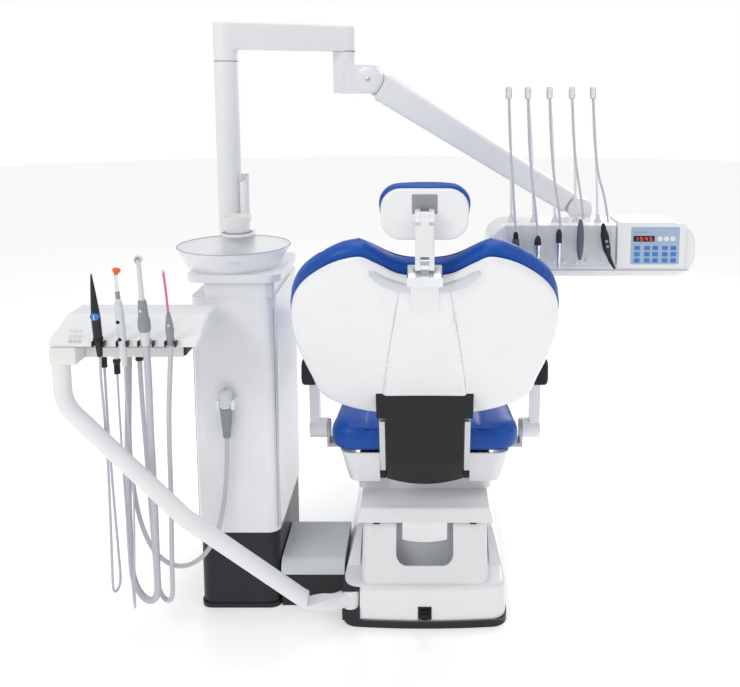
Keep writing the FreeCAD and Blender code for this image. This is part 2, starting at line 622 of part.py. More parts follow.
def back_slab(share, near, far):
    """Outline of the back, drawn in to a share of its size, between two distances from its plane."""
    middle = dim("back_middle")
    right = [Vector(dim("back_half_%d" % k) * share, middle + (dim("back_up_%d" % k) - middle) * share, near)
             for k in range(len(BACK_OUTLINE))]
    left = [Vector(-spot.x, spot.y, near) for spot in reversed(right[:-1])]
    curve = Part.BSplineCurve()
    curve.interpolate(right + left)
    foot = Part.LineSegment(left[-1], right[0])
    return Part.Face(Part.Wire([curve.toShape(), foot.toShape()])).extrude(Vector(0, 0, far - near))


def backrest_frame():
    place = back_placement()
    pivot = place.inverse().multVec(Vector(0, dim("hinge_y"), dim("hinge_z")))
    sheet_up, sheet_out = pivot.y, pivot.z
    pieces = [block(("-arm_inner-5", "plate_low", "plate_near"), ("arm_inner+5", "plate_high", "plate_far"))]
    for side in (-1, 1):
        near = "%s*(arm_inner+arm_thick/2)-arm_thick/2" % side
        arm = profile("YZ", [(sheet_up - 24, sheet_out - 8), (sheet_up - 14, sheet_out + 24),
                             (-40, 60), (34, 34), ("plate_low+70", "plate_far"),
                             ("plate_low+70", "plate_near"), ("plate_low", "plate_near"),
                             (-60, 16), (sheet_up + 16, sheet_out - 22)], near, near + "+arm_thick")
        pieces.append(arm)
    pin = drum(("-arm_inner-arm_thick", sheet_up, sheet_out), "hinge_pin", "2*arm_inner+2*arm_thick", "x")
    guide = cut(block(("-guide_half", "guide_low", "plate_far-1"), ("guide_half", "guide_high", "guide_far")),
                block(("-slider_half-gap", "guide_low-1", "slider_near-gap"),
                      ("slider_half+gap", "guide_high+1", "slider_far+gap")))
    keep("backrest_frame", fuse(pin, guide, *pieces), place)


def hinge_cover():
    """Dark curved cover over the recline hinge, with a wider cap and a lip at its foot."""
    pieces = [profile("YZ", outline, "-" + half, half) for half, outline in HINGE_COVER.items()]
    keep("hinge_cover", fuse(*pieces))


def backrest_shell():
    """Hard back of the backrest, with pockets for its frame, its two arms and the headrest's guide."""
    room, slack, deep = 4, 3, 60
    near = dim("plate_far")

    def pocket(half, low, high, floor, height=deep):
        return Part.makeBox(2 * half, high - low, height, Vector(-half, low, floor))

    shape = back_slab(dim("shell_share"), dim("shell_near"), dim("shell_far"))
    plate = pocket(dim("arm_inner") + room + slack, room + 1, room + 1 + dim("plate_high"), 0, near + 1)
    guide_foot = dim("guide_low") - 2 * slack
    guide = pocket(dim("guide_half") + slack, guide_foot, guide_foot + dim("back_guide"), near - 2,
                   dim("guide_far") + room - near)
    cap_foot = dim("cap_low") - room
    cap = pocket(dim("cap_half") + slack, cap_foot, cap_foot + deep, 0)
    centre = pocket(dim("hood_cap_half") + slack, -dim("cover_reach"), dim("cover_rise"), dim("cover_floor"))
    arms = [Part.makeBox(dim("arm_thick") + 2 * room, dim("arm_pocket"), deep,
                         Vector(side, dim("arm_foot"), 0))
            for side in (dim("arm_inner") - room, -dim("arm_inner") - dim("arm_thick") - room)]
    for tool in [plate, guide, cap, centre] + arms:
        shape = shape.cut(tool)
    keep("backrest_shell", feature(shape), back_placement())


def backrest_cushion():
    shape = back_slab(1, dim("cushion_far"), dim("cushion_near"))
    keep("backrest_cushion", feature(shape), back_placement())


# ---- headrest ---------------------------------------------------------------

def headrest_slider():
    """Bar in the guide of the backrest, its cap and the tongue of the neck joint."""
    bar = block(("-slider_half", "slider_low", "slider_near"), ("slider_half", "neck_up-18", "slider_far"))
    cap = rounded(block(("-cap_half", "cap_low", "cap_near"), ("cap_half", "cap_high", "cap_far")),
                  "head_edge", along("z"))
    tongue = block(("-neck_tongue", "cap_high-1", "neck_out-neck_tongue"),
                   ("neck_tongue", "neck_up", "neck_out+neck_tongue"))
    eye = drum(("-neck_tongue", "neck_up", "neck_out"), "neck_eye", "2*neck_tongue", "x")
    pin = drum(("-neck_fork", "neck_up", "neck_out"), "neck_pin", "2*neck_fork", "x")
    keep("headrest_slider", fuse(bar, cap, tongue, eye, pin), back_placement())


def fork(axis_y, axis_z, eye, bore):
    """Two cheeks of a fork joint around an axis along X."""
    cheeks = []
    for side in (-1, 1):
        near = "%s*(neck_tongue+neck_fork+gap)/2-(neck_fork-neck_tongue-gap)/2" % side
        thick = "neck_fork-neck_tongue-gap"
        cheeks.append(cut(drum((near, axis_y, axis_z), eye, thick, "x"),
                          drum((near, axis_y, axis_z), bore, thick, "x")))
    return cheeks


def headrest_link():
    """Link between the neck joint and the headrest: fork below, tongue above."""
    low_y, low_z = back_point(dim("neck_up"), dim("neck_out"))
    rise = math.hypot(dim("head_y") - low_y, dim("head_z") - low_z)
    turn = math.degrees(math.atan2(dim("head_z") - low_z, dim("head_y") - low_y))
    place = Placement(Vector(0, low_y, low_z), Rotation(Vector(1, 0, 0), turn))
    cheeks = fork("0", "0", "neck_eye", "neck_pin+running")
    posts = [block(("%s*(neck_tongue+neck_fork+gap)/2-(neck_fork-neck_tongue-gap)/2" % side,
                    "neck_eye-4", "-link_deep"),
                   ("%s*(neck_tongue+neck_fork+gap)/2+(neck_fork-neck_tongue-gap)/2" % side,
                    "neck_eye+8", "link_deep")) for side in (-1, 1)]
    body = rounded(block(("-neck_fork", "neck_eye+3", "-link_deep"),
                         ("neck_fork", rise - 17, "link_deep")), "link_edge", along("y"))
    tongue = block(("-neck_tongue", rise - 18, "-link_deep"), ("neck_tongue", rise, "link_deep"))
    eye = drum(("-neck_tongue", rise, "0"), "head_eye", "2*neck_tongue", "x")
    pin = drum(("-neck_fork", rise, "0"), "neck_pin", "2*neck_fork", "x")
    keep("headrest_link", fuse(body, tongue, eye, pin, *cheeks, *posts), place)


def head_placement():
    return Placement(Vector(0, dim("head_y"), dim("head_z")),
                     Rotation(Vector(1, 0, 0), 180 - dim("head_slope")))


def headrest():
    back = rounded(block(("-head_half+head_inset", "head_low+head_inset", "head_far"),
                         ("head_half-head_inset", "head_top-head_inset", "head_near")),
                   "head_corner", along("z"))
    back = rounded(back, "head_edge", at("z", "head_near"))
    lugs = fork("0", "0", "head_eye", "neck_pin+running")
    webs = [block(("%s*(neck_tongue+neck_fork+gap)/2-(neck_fork-neck_tongue-gap)/2" % side,
                   "-head_eye", "head_near-2"),
                  ("%s*(neck_tongue+neck_fork+gap)/2+(neck_fork-neck_tongue-gap)/2" % side,
                   "head_eye", "-neck_pin-2")) for side in (-1, 1)]
    keep("headrest_shell", fuse(back, *lugs, *webs), head_placement())
    pad = rounded(block(("-head_half", "head_low", "head_pad"), ("head_half", "head_top", "head_far-gap*2")),
                  "head_corner", along("z"))
    keep("headrest_cushion", rounded(pad, "head_edge", at("z", "head_pad")), head_placement())


# ---- armrests ---------------------------------------------------------------

def armrests():
    hub = cut(drum(("lever_near", "rest_y", "rest_z"), "rest_hub", "lever_far-lever_near", "x"),
              drum(("lever_near", "rest_y", "rest_z"), "rest_pin+running",
                   "rest_pin_end-lever_near+gap", "x"))
    blade = profile("YZ", [("rest_y-lever_half", "rest_z+10"), ("rest_y+lever_half", "rest_z+10"),
                           ("rest_y+lever_half-lever_lean", "lever_top"),
                           ("rest_y-lever_half-lever_lean", "lever_top")], "lever_blade", "lever_far")
    keep("armrest_right", fuse(hub, cut(blade, drum(
        ("lever_near", "rest_y", "rest_z"), "rest_pin+running", "rest_pin_end-lever_near+gap", "x"))))
    pad = profile("YZ", [("rest_pad_rear", "rest_pad_low+rest_pad_fall"), ("rest_pad_front", "rest_pad_low"),
                         ("rest_pad_front", "rest_pad_high-2*rest_pad_fall"),
                         ("rest_pad_rear", "rest_pad_high")],
                  "rest_pad_x-rest_pad_half", "rest_pad_x+rest_pad_half")
    seat = block(("lever_near", "rest_y-lever_half*2", "lever_top-5"),
                 ("lever_far+15", "rest_y+lever_half*2", "lever_top+gap"))
    pad = rounded(pad, "rest_pad_edge", lambda middle, way: True)
    keep("armrest_pad_right", cut(pad, seat))
    keep("armrest_left", mirrored(NODES["armrest_right"]))
    keep("armrest_pad_left", mirrored(NODES["armrest_pad_right"]))


# ---- tower ------------------------------------------------------------------

def tower_block(low, high, inset):
    return block(("tower_left+%s" % inset, "tower_rear+%s" % inset, low),
                 ("tower_right-%s" % inset, "tower_front-%s" % inset, high))


def tower():
    strip = rounded(tower_block("0", "plinth_strip", "0"), "tower_corner", along("z"))
    plinth = rounded(tower_block("plinth_strip", "plinth_top", "strip_step"), "tower_corner", along("z"))
    keep("tower_plinth", fuse(strip, plinth))
    shell = rounded(tower_block("plinth_top+gap", "tower_top", "0"), "tower_corner", along("z"))
    hollow = rounded(tower_block("plinth_top", "tower_top-tower_wall", "tower_wall"),
                     "tower_corner", along("z"))
    hole = drum(("post_x", "post_y", "tower_top-10"), "post_radius+1", "20")
    clip = cut(block(("parked_x-parked_radius-6", "parked_y-10", "clip_low"),
                     ("parked_x+parked_radius+6", "tower_rear+1", "clip_high")),
               drum(("parked_x", "parked_y", "clip_low"), "parked_radius+gap*2", "clip_high-clip_low"))
    keep("tower_shell", fuse(cut(shell, hollow, hole), clip))
    stay = cut(block(("post_x-stay_half+15", "post_y-stay_half", "stay_low"),
                     ("post_x+stay_half", "post_y+stay_half", "tower_top-tower_wall-gap")),
               drum(("post_x", "post_y", "post_low"), "post_radius+running", "tower_top"))
    keep("tower_frame", stay)
    post = cut(drum(("post_x", "post_y", "post_low"), "post_radius", "post_top-post_low"),
               drum(("post_x", "post_y", "post_top-post_bore_deep"), "post_bore", "post_bore_deep"))
    keep("tower_post", post)


def tower_link():
    """Duct that takes the supply lines from the tower to the chair base."""
    keep("link_box", block(("tower_right+gap*2", "tray_link_rear", "0"),
                           ("-base_half-gap*2", "tray_link_front", "link_high")))
    top = block(("tower_right+gap*2", "tray_link_rear-3", "link_high+gap"),
                ("-base_half-gap*2", "tray_link_front+3", "link_cover_high"))
    keep("link_cover", rounded(top, "duct_edge", lambda middle, way: along("x")(middle, way)
                               and at_top(middle, "link_cover_high")))


def at_top(middle, place):
    return abs(middle[2] - dim(place)) < 0.01


# ---- cuspidor ---------------------------------------------------------------

def cuspidor():
    ring = drum(("post_x", "post_y", "ring_low"), "ring_radius", "ring_high-ring_low")
    neck = rounded(block(("neck_left", "neck_rear", "tower_top+gap"),
                         ("neck_right", "neck_front", "rim_low+1")),
                   "cover_corner", along("z"))
    rim = rounded(block(("rim_left", "rim_rear", "rim_low"), ("rim_right", "neck_front-30", "rim_high")),
                  "rim_corner", along("z"))
    stand = block(("stand_x-stand_half", "stand_rear", "rim_low"),
                  ("stand_x+stand_half", "stand_front", "stand_high"))
    shelf = drum(("stand_x", "shelf_y", "stand_high"), "stand_half", "shelf_thick")
    bridge = block(("stand_x-stand_half", "shelf_y", "stand_high"),
                   ("stand_x+stand_half", "stand_front", "stand_high+shelf_thick"))
    spout = rounded(drum(("spout_x", "spout_y", "rim_low"), "spout_radius", "spout_high-rim_low"),
                    "spout_edge", at("z", "spout_high"))
    bore = drum(("post_x", "post_y", "tower_top"), "post_radius+running", "ring_high")
    keep("cuspidor_carrier", cut(fuse(ring, neck, rim, stand, shelf, bridge, spout), bore))
    bowl = cut(cone(("bowl_x", "bowl_y", "bowl_low"), "bowl_foot", "bowl_rim", "bowl_high-bowl_low"),
               cone(("bowl_x", "bowl_y", "bowl_low+bowl_wall*1.5"), "bowl_foot-bowl_wall",
                    "bowl_rim-bowl_wall", "bowl_high-bowl_low-bowl_wall*1.5"))
    keep("cuspidor_bowl", bowl)
    foot = "stand_high+shelf_thick+gap"
    cup = cut(cone(("stand_x", "shelf_y", foot), "cup_foot", "cup_rim", "cup_high-(%s)" % foot),
              cone(("stand_x", "shelf_y", foot + "+cup_wall"), "cup_foot-cup_wall",
                   "cup_rim-cup_wall", "cup_high-(%s)-cup_wall" % foot))
    keep("rinsing_cup", cup)


# ---- arm of the dentist's tray ----------------------------------------------

def bar_placement():
    turn = math.atan2(dim("bar_end_y") - dim("post_y"), dim("bar_end_x") - dim("post_x"))
    return Placement(Vector(dim("post_x"), dim("post_y"), 0), Rotation(Vector(0, 0, 1), math.degrees(turn)))


def heading():
    return Rotation(Vector(0, 0, 1), dim("heading"))


def elbow():
    """Centre of the joint between the knuckle and the balance arm."""
    hub = Vector(dim("bar_end_x"), dim("bar_end_y"), dim("elbow_z"))
    return hub + heading().multVec(Vector(dim("reach"), 0, 0))


def wrist():
    """Centre of the joint between the balance arm and the tray's bracket."""
    arm = Rotation(dim("heading"), dim("arm_slope"), 0)
    return elbow() + arm.multVec(Vector(dim("arm_length"), 0, 0))


def swing_bar():
    span = math.hypot(dim("bar_end_x") - dim("post_x"), dim("bar_end_y") - dim("post_y"))
    beam = rounded(block(("-bar_half-2", "-bar_half", "bar_low"),
                         ("%s+bar_half+2" % span, "bar_half", "bar_high")),
                   "bar_end_round", along("z"))
    beam = rounded(beam, "bar_edge", at("z", "bar_high"))
    collar = drum(("0", "0", "post_top+1"), "post_radius", "bar_low-post_top")
    spigot = drum(("0", "0", "post_top-post_bore_deep+3"), "spigot", "post_bore_deep")
    bore = drum((span, "0", "bar_low"), "hub_pin+running", "40")
    keep("swing_bar", cut(fuse(beam, collar, spigot), bore), bar_placement())


def knuckle():
    hub = drum(("0", "0", "hub_low"), "hub_radius", "bar_low-gap-hub_low")
    pin = drum(("0", "0", "hub_low"), "hub_pin", "bar_low+38-hub_low")
    body = block(("0", "-cheek_outer", "elbow_z-cheek_radius"),
                 ("reach", "cheek_outer", "elbow_z+cheek_radius"))
    cheek = drum(("reach", "-cheek_outer", "elbow_z"), "cheek_radius", "2*cheek_outer", "y")
    slot = block(("slot_start", "-cheek_inner", "elbow_z-60"), ("reach+60", "cheek_inner", "elbow_z+60"))
    axle = drum(("reach", "-cheek_outer", "elbow_z"), "elbow_pin", "2*cheek_outer", "y")
    keep("bar_knuckle", fuse(cut(fuse(hub, pin, body, cheek), slot), axle),
         Placement(Vector(dim("bar_end_x"), dim("bar_end_y"), 0), heading()))


def balance_arm():
    half = "cheek_inner-tongue_slip"
    beam = profile("XZ", [("arm_start", "-arm_tall/2"), ("arm_length-arm_stop", "-arm_end_tall/2"),
                          ("arm_length-arm_stop", "arm_end_tall/2"), ("arm_start", "arm_tall/2")],
                   "-cheek_outer", "cheek_outer")
    beam = rounded(beam, "arm_edge", lambda middle, way: abs(way[0]) > 0.9)
    root = drum(("0", "-(%s)" % half, "0"), "elbow_tongue", "2*(%s)" % half, "y")
    root_web = block(("0", "-(%s)" % half, "-elbow_tongue+6"), ("arm_start+5", half, "elbow_tongue-6"))
    tip = drum(("arm_length", "-(%s)" % half, "0"), "wrist_tongue", "2*(%s)" % half, "y")
    tip_web = block(("arm_length-arm_stop-5", "-(%s)" % half, "-wrist_tongue+6"),
                    ("arm_length", half, "wrist_tongue-6"))
    bores = [drum((place, "-cheek_outer", "0"), "elbow_pin+running", "2*cheek_outer", "y")
             for place in ("0", "arm_length")]
    keep("balance_arm", cut(fuse(beam, root, root_web, tip, tip_web), *bores),
         Placement(elbow(), Rotation(dim("heading"), dim("arm_slope"), 0)))


def tray_bracket():
    cheeks = []
    for side in (-1, 1):
        near = "%s*(cheek_inner+cheek_outer)/2-(cheek_outer-cheek_inner)/2" % side
        cheeks.append(drum(("0", near, "0"), "wrist_radius", "cheek_outer-cheek_inner", "y"))
        cheeks.append(block(("-wrist_cheek", near, "-wrist_drop-2"),
                            ("wrist_cheek", near + "+cheek_outer-cheek_inner", "0")))
    foot = drum(("0", "0", "-wrist_foot"), "cheek_outer", "wrist_foot-wrist_drop")
    axle = drum(("0", "-cheek_outer", "0"), "elbow_pin", "2*cheek_outer", "y")
    pin = drum(("0", "0", "-wrist_pin_low"), "wrist_pin", "wrist_pin_low-wrist_drop")
    keep("tray_bracket", fuse(foot, axle, pin, *cheeks), Placement(wrist(), heading()))


# ---- dentist's tray ---------------------------------------------------------

# place along the tray, whip's foot, whip's tip, height of the handle's top, its length and radius
TRAY_TOOLS = {
    "spray_handpiece": (243, 238, 229, 985, 84, 10.5),
    "straight_handpiece": (302, 300, 281, 975, 92, 9.5),
    "contra_angle": (362, 358, 340, 993, 104, 8.5),
    "scaler": (422, 415, 401, 1020, 112, 9.5),
    "air_syringe": (488, 475, 458, 1010, 128, 11.5),
}
TRAY_PROFILES = {
    "spray_handpiece": [(0, 0.5), (0.08, 0.85), (0.4, 1), (0.75, 0.92), (0.93, 0.55), (1, 0.4)],
    "straight_handpiece": [(0, 0.35), (0.1, 0.62), (0.5, 0.86), (0.8, 1), (0.93, 0.9), (1, 0.4)],
    "contra_angle": [(0, 0.3), (0.12, 0.5), (0.3, 0.78), (0.68, 0.9), (0.72, 1), (0.94, 0.85), (1, 0.4)],
    "scaler": [(0, 0.2), (0.08, 0.6), (0.3, 0.95), (0.6, 1), (0.85, 0.8), (1, 0.4)],
    "air_syringe": [(0, 0.35), (0.3, 0.55), (0.55, 0.95), (0.78, 1), (0.92, 0.6), (1, 0.35)],
}


def tray_body():
    body = rounded(block(("tray_left", "tray_rear", "tray_low"), ("tray_right", "tray_front", "tray_high")),
                   "tray_corner", along("y"))
    body = rounded(body, "tray_edge", at("y", "tray_rear"))
    centre = wrist()
    neck = rounded(block(("%s-neck_block" % centre.x, "tray_front-10", "neck_block_low"),
                         ("%s+neck_block" % centre.x, "neck_block_front", "neck_block_high")),
                   "tray_edge", along("z"))
    bore = drum((centre.x, centre.y, "%s-wrist_pin_low-2" % centre.z), "wrist_pin+running", "100")
    holder = rounded(block(("holder_left", "tray_rear-holder_thick", "holder_low"),
                           ("holder_right", "tray_rear+1", "holder_high")),
                     "holder_edge", at("y", "holder_front"))
    cradles = [block(("%s-cradle_half" % tool[0], "cradle_reach", "cradle_low"),
                     ("%s+cradle_half" % tool[0], "tray_rear-holder_thick+1", "cradle_high"))
               for tool in TRAY_TOOLS.values()]
    hollow = rounded(block(("tray_left+tray_wall", "tray_rear+tray_wall", "tray_low-1"),
                           ("tray_right-tray_wall", "tray_front-tray_wall", "tray_high-tray_wall")),
                     "tray_corner",
                     lambda middle, way: along("y")(middle, way) and middle[2] > dim("tray_high") - 50)
    keep("tray_body", cut(fuse(cut(body, hollow), neck, holder, *cradles), bore))


def control_panel():
    face = rounded(block(("panel_left", "tray_rear-panel_thick", "panel_low"),
                         ("panel_right", "tray_rear-gap", "panel_high")), "panel_edge", along("y"))
    slab_top = rounded(block(("slab_left", "tray_rear-panel_thick", "tray_high+gap"),
                             ("slab_right", "tray_rear+slab_depth", "tray_high+gap+slab_thick")),
                       "panel_edge", along("z"))
    keep("control_panel", fuse(face, slab_top))


def whips():
    """Five sprung rods that carry the hoses, each with a guide clip at its tip."""
    solids = []
    for place, foot, tip, top, long, wide in TRAY_TOOLS.values():
        low = Vector(foot, dim("whip_foot_y"), dim("whip_foot_z") + 0.3)
        high = Vector(tip, dim("whip_foot_y") + dim("whip_lean"), dim("whip_top"))
        middle = low + (high - low) * 0.5 + Vector(3, -4, 0)
        rod = tube_shape([low, middle, high], dim("whip_radius"))
        clip = Part.makeCylinder(dim("clip_radius"), dim("clip_long"),
                                 high - Vector(0, dim("clip_forward"), dim("clip_long")))
        web = Part.makeBox(dim("clip_web"), dim("clip_forward"), dim("clip_long"),
                           high - Vector(dim("clip_web") / 2, dim("clip_forward"), dim("clip_long")))
        solids.append(rod.fuse([clip, web]).removeSplitter())
    keep("whips", feature(Part.makeCompound(solids)))


def tray_tools():
    for name, (place, foot, tip, top, long, wide) in TRAY_TOOLS.items():
        tool = turned(TRAY_PROFILES[name], long, wide)
        keep(name, tool, Placement(Vector(place, dim("handle_y"), top - long), Rotation()))


def tray_hoses():
    """Hose of each instrument, from the clip on its whip down to the handle."""
    solids = []
    for place, foot, tip, top, long, wide in TRAY_TOOLS.values():
        start = Vector(tip, dim("whip_foot_y") + dim("whip_lean") - dim("clip_forward"),
                       dim("whip_top") - dim("clip_long") - dim("hose_gap"))
        end = Vector(place, dim("handle_y"), top + dim("hose_gap"))
        fall = start.z - end.z
        points = [start, Vector(tip + 1, start.y - 11, start.z - 0.2 * fall),
                  Vector(tip + 4, start.y - 28, start.z - 0.42 * fall),
                  Vector(tip + 9, start.y - 52, start.z - 0.63 * fall),
                  Vector(place - 4, end.y + 14, end.z + 0.17 * fall), end]
        solids.append(tube_shape(points, dim("tray_hose")))
    keep("tray_hoses", feature(Part.makeCompound(solids)))


# ---- assistant's arm, tray, instruments and hoses ---------------------------

# place along the tray, height of the low end, length, largest radius
ASSIST_TOOLS = {
    "cautery_handle": (-736, 766, 200, 10.5),
    "curing_light": (-682, 741, 236, 10),
    "suction_handpiece": (-629, 794, 212, 14.5),
    "saliva_ejector": (-573, 794, 179, 9.5),
}
ASSIST_PROFILES = {
    "cautery_handle": [(0, 0.5), (0.3, 0.72), (0.42, 0.9), (0.56, 1), (0.62, 0.8), (1, 0.12)],
    "curing_light": [(0, 0.5), (0.12, 0.8), (0.3, 1), (0.66, 1), (0.74, 0.6), (0.76, 0.32), (0.95, 0.32),
                     (0.96, 0.7), (1, 0.6)],
    "suction_handpiece": [(0, 0.78), (0.22, 0.82), (0.28, 1), (0.34, 0.9), (0.5, 0.62), (0.52, 0.4),
                          (0.93, 0.42), (0.95, 0.7), (1, 0.72)],
    "saliva_ejector": [(0, 0.8), (0.16, 0.85), (0.24, 1), (0.4, 0.4), (0.42, 0.28), (1, 0.26)],
}
# radius of each hose and its route from the instrument to the gland under the tray
ASSIST_HOSES = {
    "cautery_hose": (3, [(-736, -442.8, 765.2), (-741, -434, 716), (-746, -412, 640), (-749, -397, 550),
        (-750, -393, 455), (-752, -390, 365), (-754, -387.5, 285), (-755.5, -386.5, 225),
        (-756, -386, 186), (-756, -386, 159.1), (-754.8, -374, 147), (-753.2, -357, 147),
        (-752, -345, 159.1), (-752.5, -344.5, 191), (-754.5, -343.5, 231), (-757, -343, 295),
        (-760, -342.5, 375), (-762.5, -342.5, 460), (-764, -343.5, 545), (-765, -344.5, 628),
        (-765, -345, 705.5)]),
    "curing_light_hose": (2.4, [(-682, -439.3, 740.4), (-687, -429, 690), (-692, -410, 622),
        (-695, -396, 540), (-694, -388, 460), (-696, -385, 380), (-699, -383.5, 305),
        (-702, -383, 236), (-704.5, -383, 180), (-705, -383, 146), (-705.2, -383, 115.2),
        (-710, -371.9, 103), (-717, -356.1, 103), (-722, -345, 115.2), (-723, -345, 146),
        (-724.5, -345.5, 181), (-726, -346, 236), (-728.5, -346.5, 305), (-730, -347, 385),
        (-732, -347, 465), (-733.5, -346, 545), (-735, -345, 622), (-735, -345.5, 689.6)]),
    "suction_hose": (8.5, [(-629, -446.7, 792.6), (-633, -429, 704), (-645, -397, 590),
        (-652, -371, 470), (-656, -357, 350), (-658, -353.5, 245), (-658.5, -353, 180),
        (-658, -353, 126.7), (-683.8, -331.3, 93), (-720.2, -300.7, 93), (-746, -279, 126.7),
        (-747.5, -278, 177), (-749, -277, 242), (-749, -276, 330), (-745, -275.5, 455),
        (-737, -276, 590), (-730, -277, 715.2)]),
    "saliva_hose": (6, [(-573, -446.7, 792.8), (-583, -432, 716), (-598, -402, 622), (-608, -377, 520),
        (-613, -362, 420), (-617, -355, 330), (-620, -353, 255), (-622, -352, 190),
        (-622, -352, 121), (-639, -335, 97), (-663, -311, 97), (-680, -294, 121), (-682, -293, 190),
        (-684.5, -292.5, 250), (-687.5, -292, 330), (-690.5, -292, 420), (-693.5, -292.5, 515),
        (-697, -293, 610), (-698, -293, 705.7)]),
}
PARKED_ROUTE = [(-504.5, -234, 483.8), (-506, -235, 425), (-511, -237, 352), (-521, -240, 278),
    (-541, -243, 212), (-574, -246, 162), (-618, -249, 138), (-662, -250, 146), (-700, -251, 184),
    (-726, -251, 248), (-741, -250.5, 330), (-748, -250, 420), (-748, -249, 520), (-744, -249, 620),
    (-738, -249, 705.3)]
# gland of each hose: place under the carrier and radius
GLANDS = {"cautery": (-765, -345, 706, 5), "curing": (-735, -345, 690, 5.5),
          "suction": (-730, -277, 716, 11), "saliva": (-698, -293, 706, 8),
          "parked": (-738, -249, 706, 8.5)}
ARM_ROUTE = [(-833, -425, 752), (-833, -425, 645), (-560, -432, 370), (-300, -340, 108),
             (-236, -306, 74), (-190, -276, 74)]


def assist_arm():
    """Bent tube from the corner pivot to the box under the assistant's tray."""
    pipe = tube_shape(ARM_ROUTE, dim("tube_radius"), dim("tube_bend"))
    pivot = Vector(dim("pivot_x"), dim("pivot_y"), dim("pivot_low") + 0.5)
    tall = dim("pivot_high") - dim("pivot_low") - 1
    boss = Part.makeCylinder(dim("tube_radius") + 1, tall, pivot)
    trim = Part.makeBox(200, 200, 200, pivot + Vector(-100, -100, tall))
    pin = Part.makeCylinder(dim("pivot_pin") + dim("running"), 200, pivot - Vector(0, 0, 50))
    pipe = pipe.fuse(boss).cut(trim)
    trim.translate(Vector(0, 0, -tall - 200))
    pipe = pipe.cut(trim).cut(pin)
    corner = Vector(dim("carrier_left"), dim("carrier_rear"), dim("carrier_low"))
    tall = dim("assist_low") - dim("gap") - corner.z
    foot = Part.makeBox(dim("carrier_step") - corner.x, dim("carrier_front") - corner.y, tall, corner)
    inner = Vector(dim("carrier_left"), dim("carrier_inner"), corner.z)
    beam = Part.makeBox(dim("carrier_right") - inner.x, dim("carrier_front") - inner.y, tall, inner)
    glands = [Part.makeCylinder(radius, corner.z - z + 1, Vector(x, y, z))
              for x, y, z, radius in GLANDS.values()]
    keep("assist_arm", feature(pipe.fuse([foot, beam] + glands).removeSplitter()))


def assist_tray():
    body = profile("YZ", [("assist_rear", "assist_low"), ("assist_front", "assist_low"),
                          ("assist_front", "assist_high-8"), ("assist_front-8", "assist_high"),
                          ("assist_crest", "assist_high"), ("assist_rear", "assist_lip")],
                   "assist_left", "assist_right")
    body = rounded(body, "assist_edge", lambda middle, way: not along("x")(middle, way))
    slots = []
    for place, low, long, wide in ASSIST_TOOLS.values():
        slot = doc.addObject("Part::Feature", "Slot")
        slot.Shape = Part.makeCylinder(wide + dim("gap") * 3, 2 * long, Vector(0, 0, -long))
        slot.Placement = tool_placement(place, low)
        slots.append(slot)
    keep("assist_tray", cut(body, *slots))


def tool_placement(place, low):
    """Axis of an instrument, leaning out at the top, with its foot at that height."""
    foot = dim("instrument_y") + (dim("assist_lip") - low) * math.tan(math.radians(dim("lean")))
    return Placement(Vector(place, foot, low), Rotation(Vector(1, 0, 0), dim("lean")))


def assist_tools():
    for name, (place, low, long, wide) in ASSIST_TOOLS.items():
        keep(name, turned(ASSIST_PROFILES[name], long, wide), tool_placement(place, low))
    for name, (radius, route) in ASSIST_HOSES.items():
        keep(name, feature(tube_shape(route, radius)))
    handle = turned([(0, 0.7), (0.06, 0.92), (0.14, 0.92), (0.16, 0.98), (0.62, 0.98), (0.63, 1), (0.97, 1),
                     (1, 0.9)], dim("parked_long"), dim("parked_radius"))
    parked = Vector(dim("parked_x"), dim("parked_y"), dim("parked_low"))
    keep("parked_handle", handle, Placement(parked, Rotation()))
    keep("parked_hose", feature(tube_shape(PARKED_ROUTE, 6)))


# ---- the whole unit ---------------------------------------------------------

for make in (base_plate, base_housing, service_socket, arm_socket, lift_columns, lift_cover, lift_sleeve,
             lift_hood, carriage, seat_frame, seat_pan, seat_cushion, backrest_frame, hinge_cover,
             backrest_shell, backrest_cushion, headrest_slider, headrest_link, headrest, armrests, tower,
             tower_link, cuspidor, swing_bar, knuckle, balance_arm, tray_bracket, tray_body,
             control_panel, whips, tray_tools, tray_hoses, assist_arm, assist_tray, assist_tools):
    make()
doc.recompute()

faults = ["%s is %s" % (item.Label, item.State) for item in doc.Objects
          if "Invalid" in item.State or "Error" in item.State]
faults += ["%s has no valid shape" % name for name, item in NODES.items()
           if item.Shape.isNull() or not item.Shape.isValid() or not item.Shape.Solids]
if faults:
    raise RuntimeError("; ".join(faults))

os.makedirs("parts", exist_ok=True)
for name, item in NODES.items():
    item.Shape.exportStep("parts/%s.step" % name)
print("%d nodes, %d solids" % (len(NODES), sum(len(item.Shape.Solids) for item in NODES.values())))
print("elbow", elbow(), "wrist", wrist(), "neck", back_point(dim("neck_up"), dim("neck_out")))
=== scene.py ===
import math

import bmesh
import bpy
from mathutils import Matrix, Vector
from mathutils.bvhtree import BVHTree


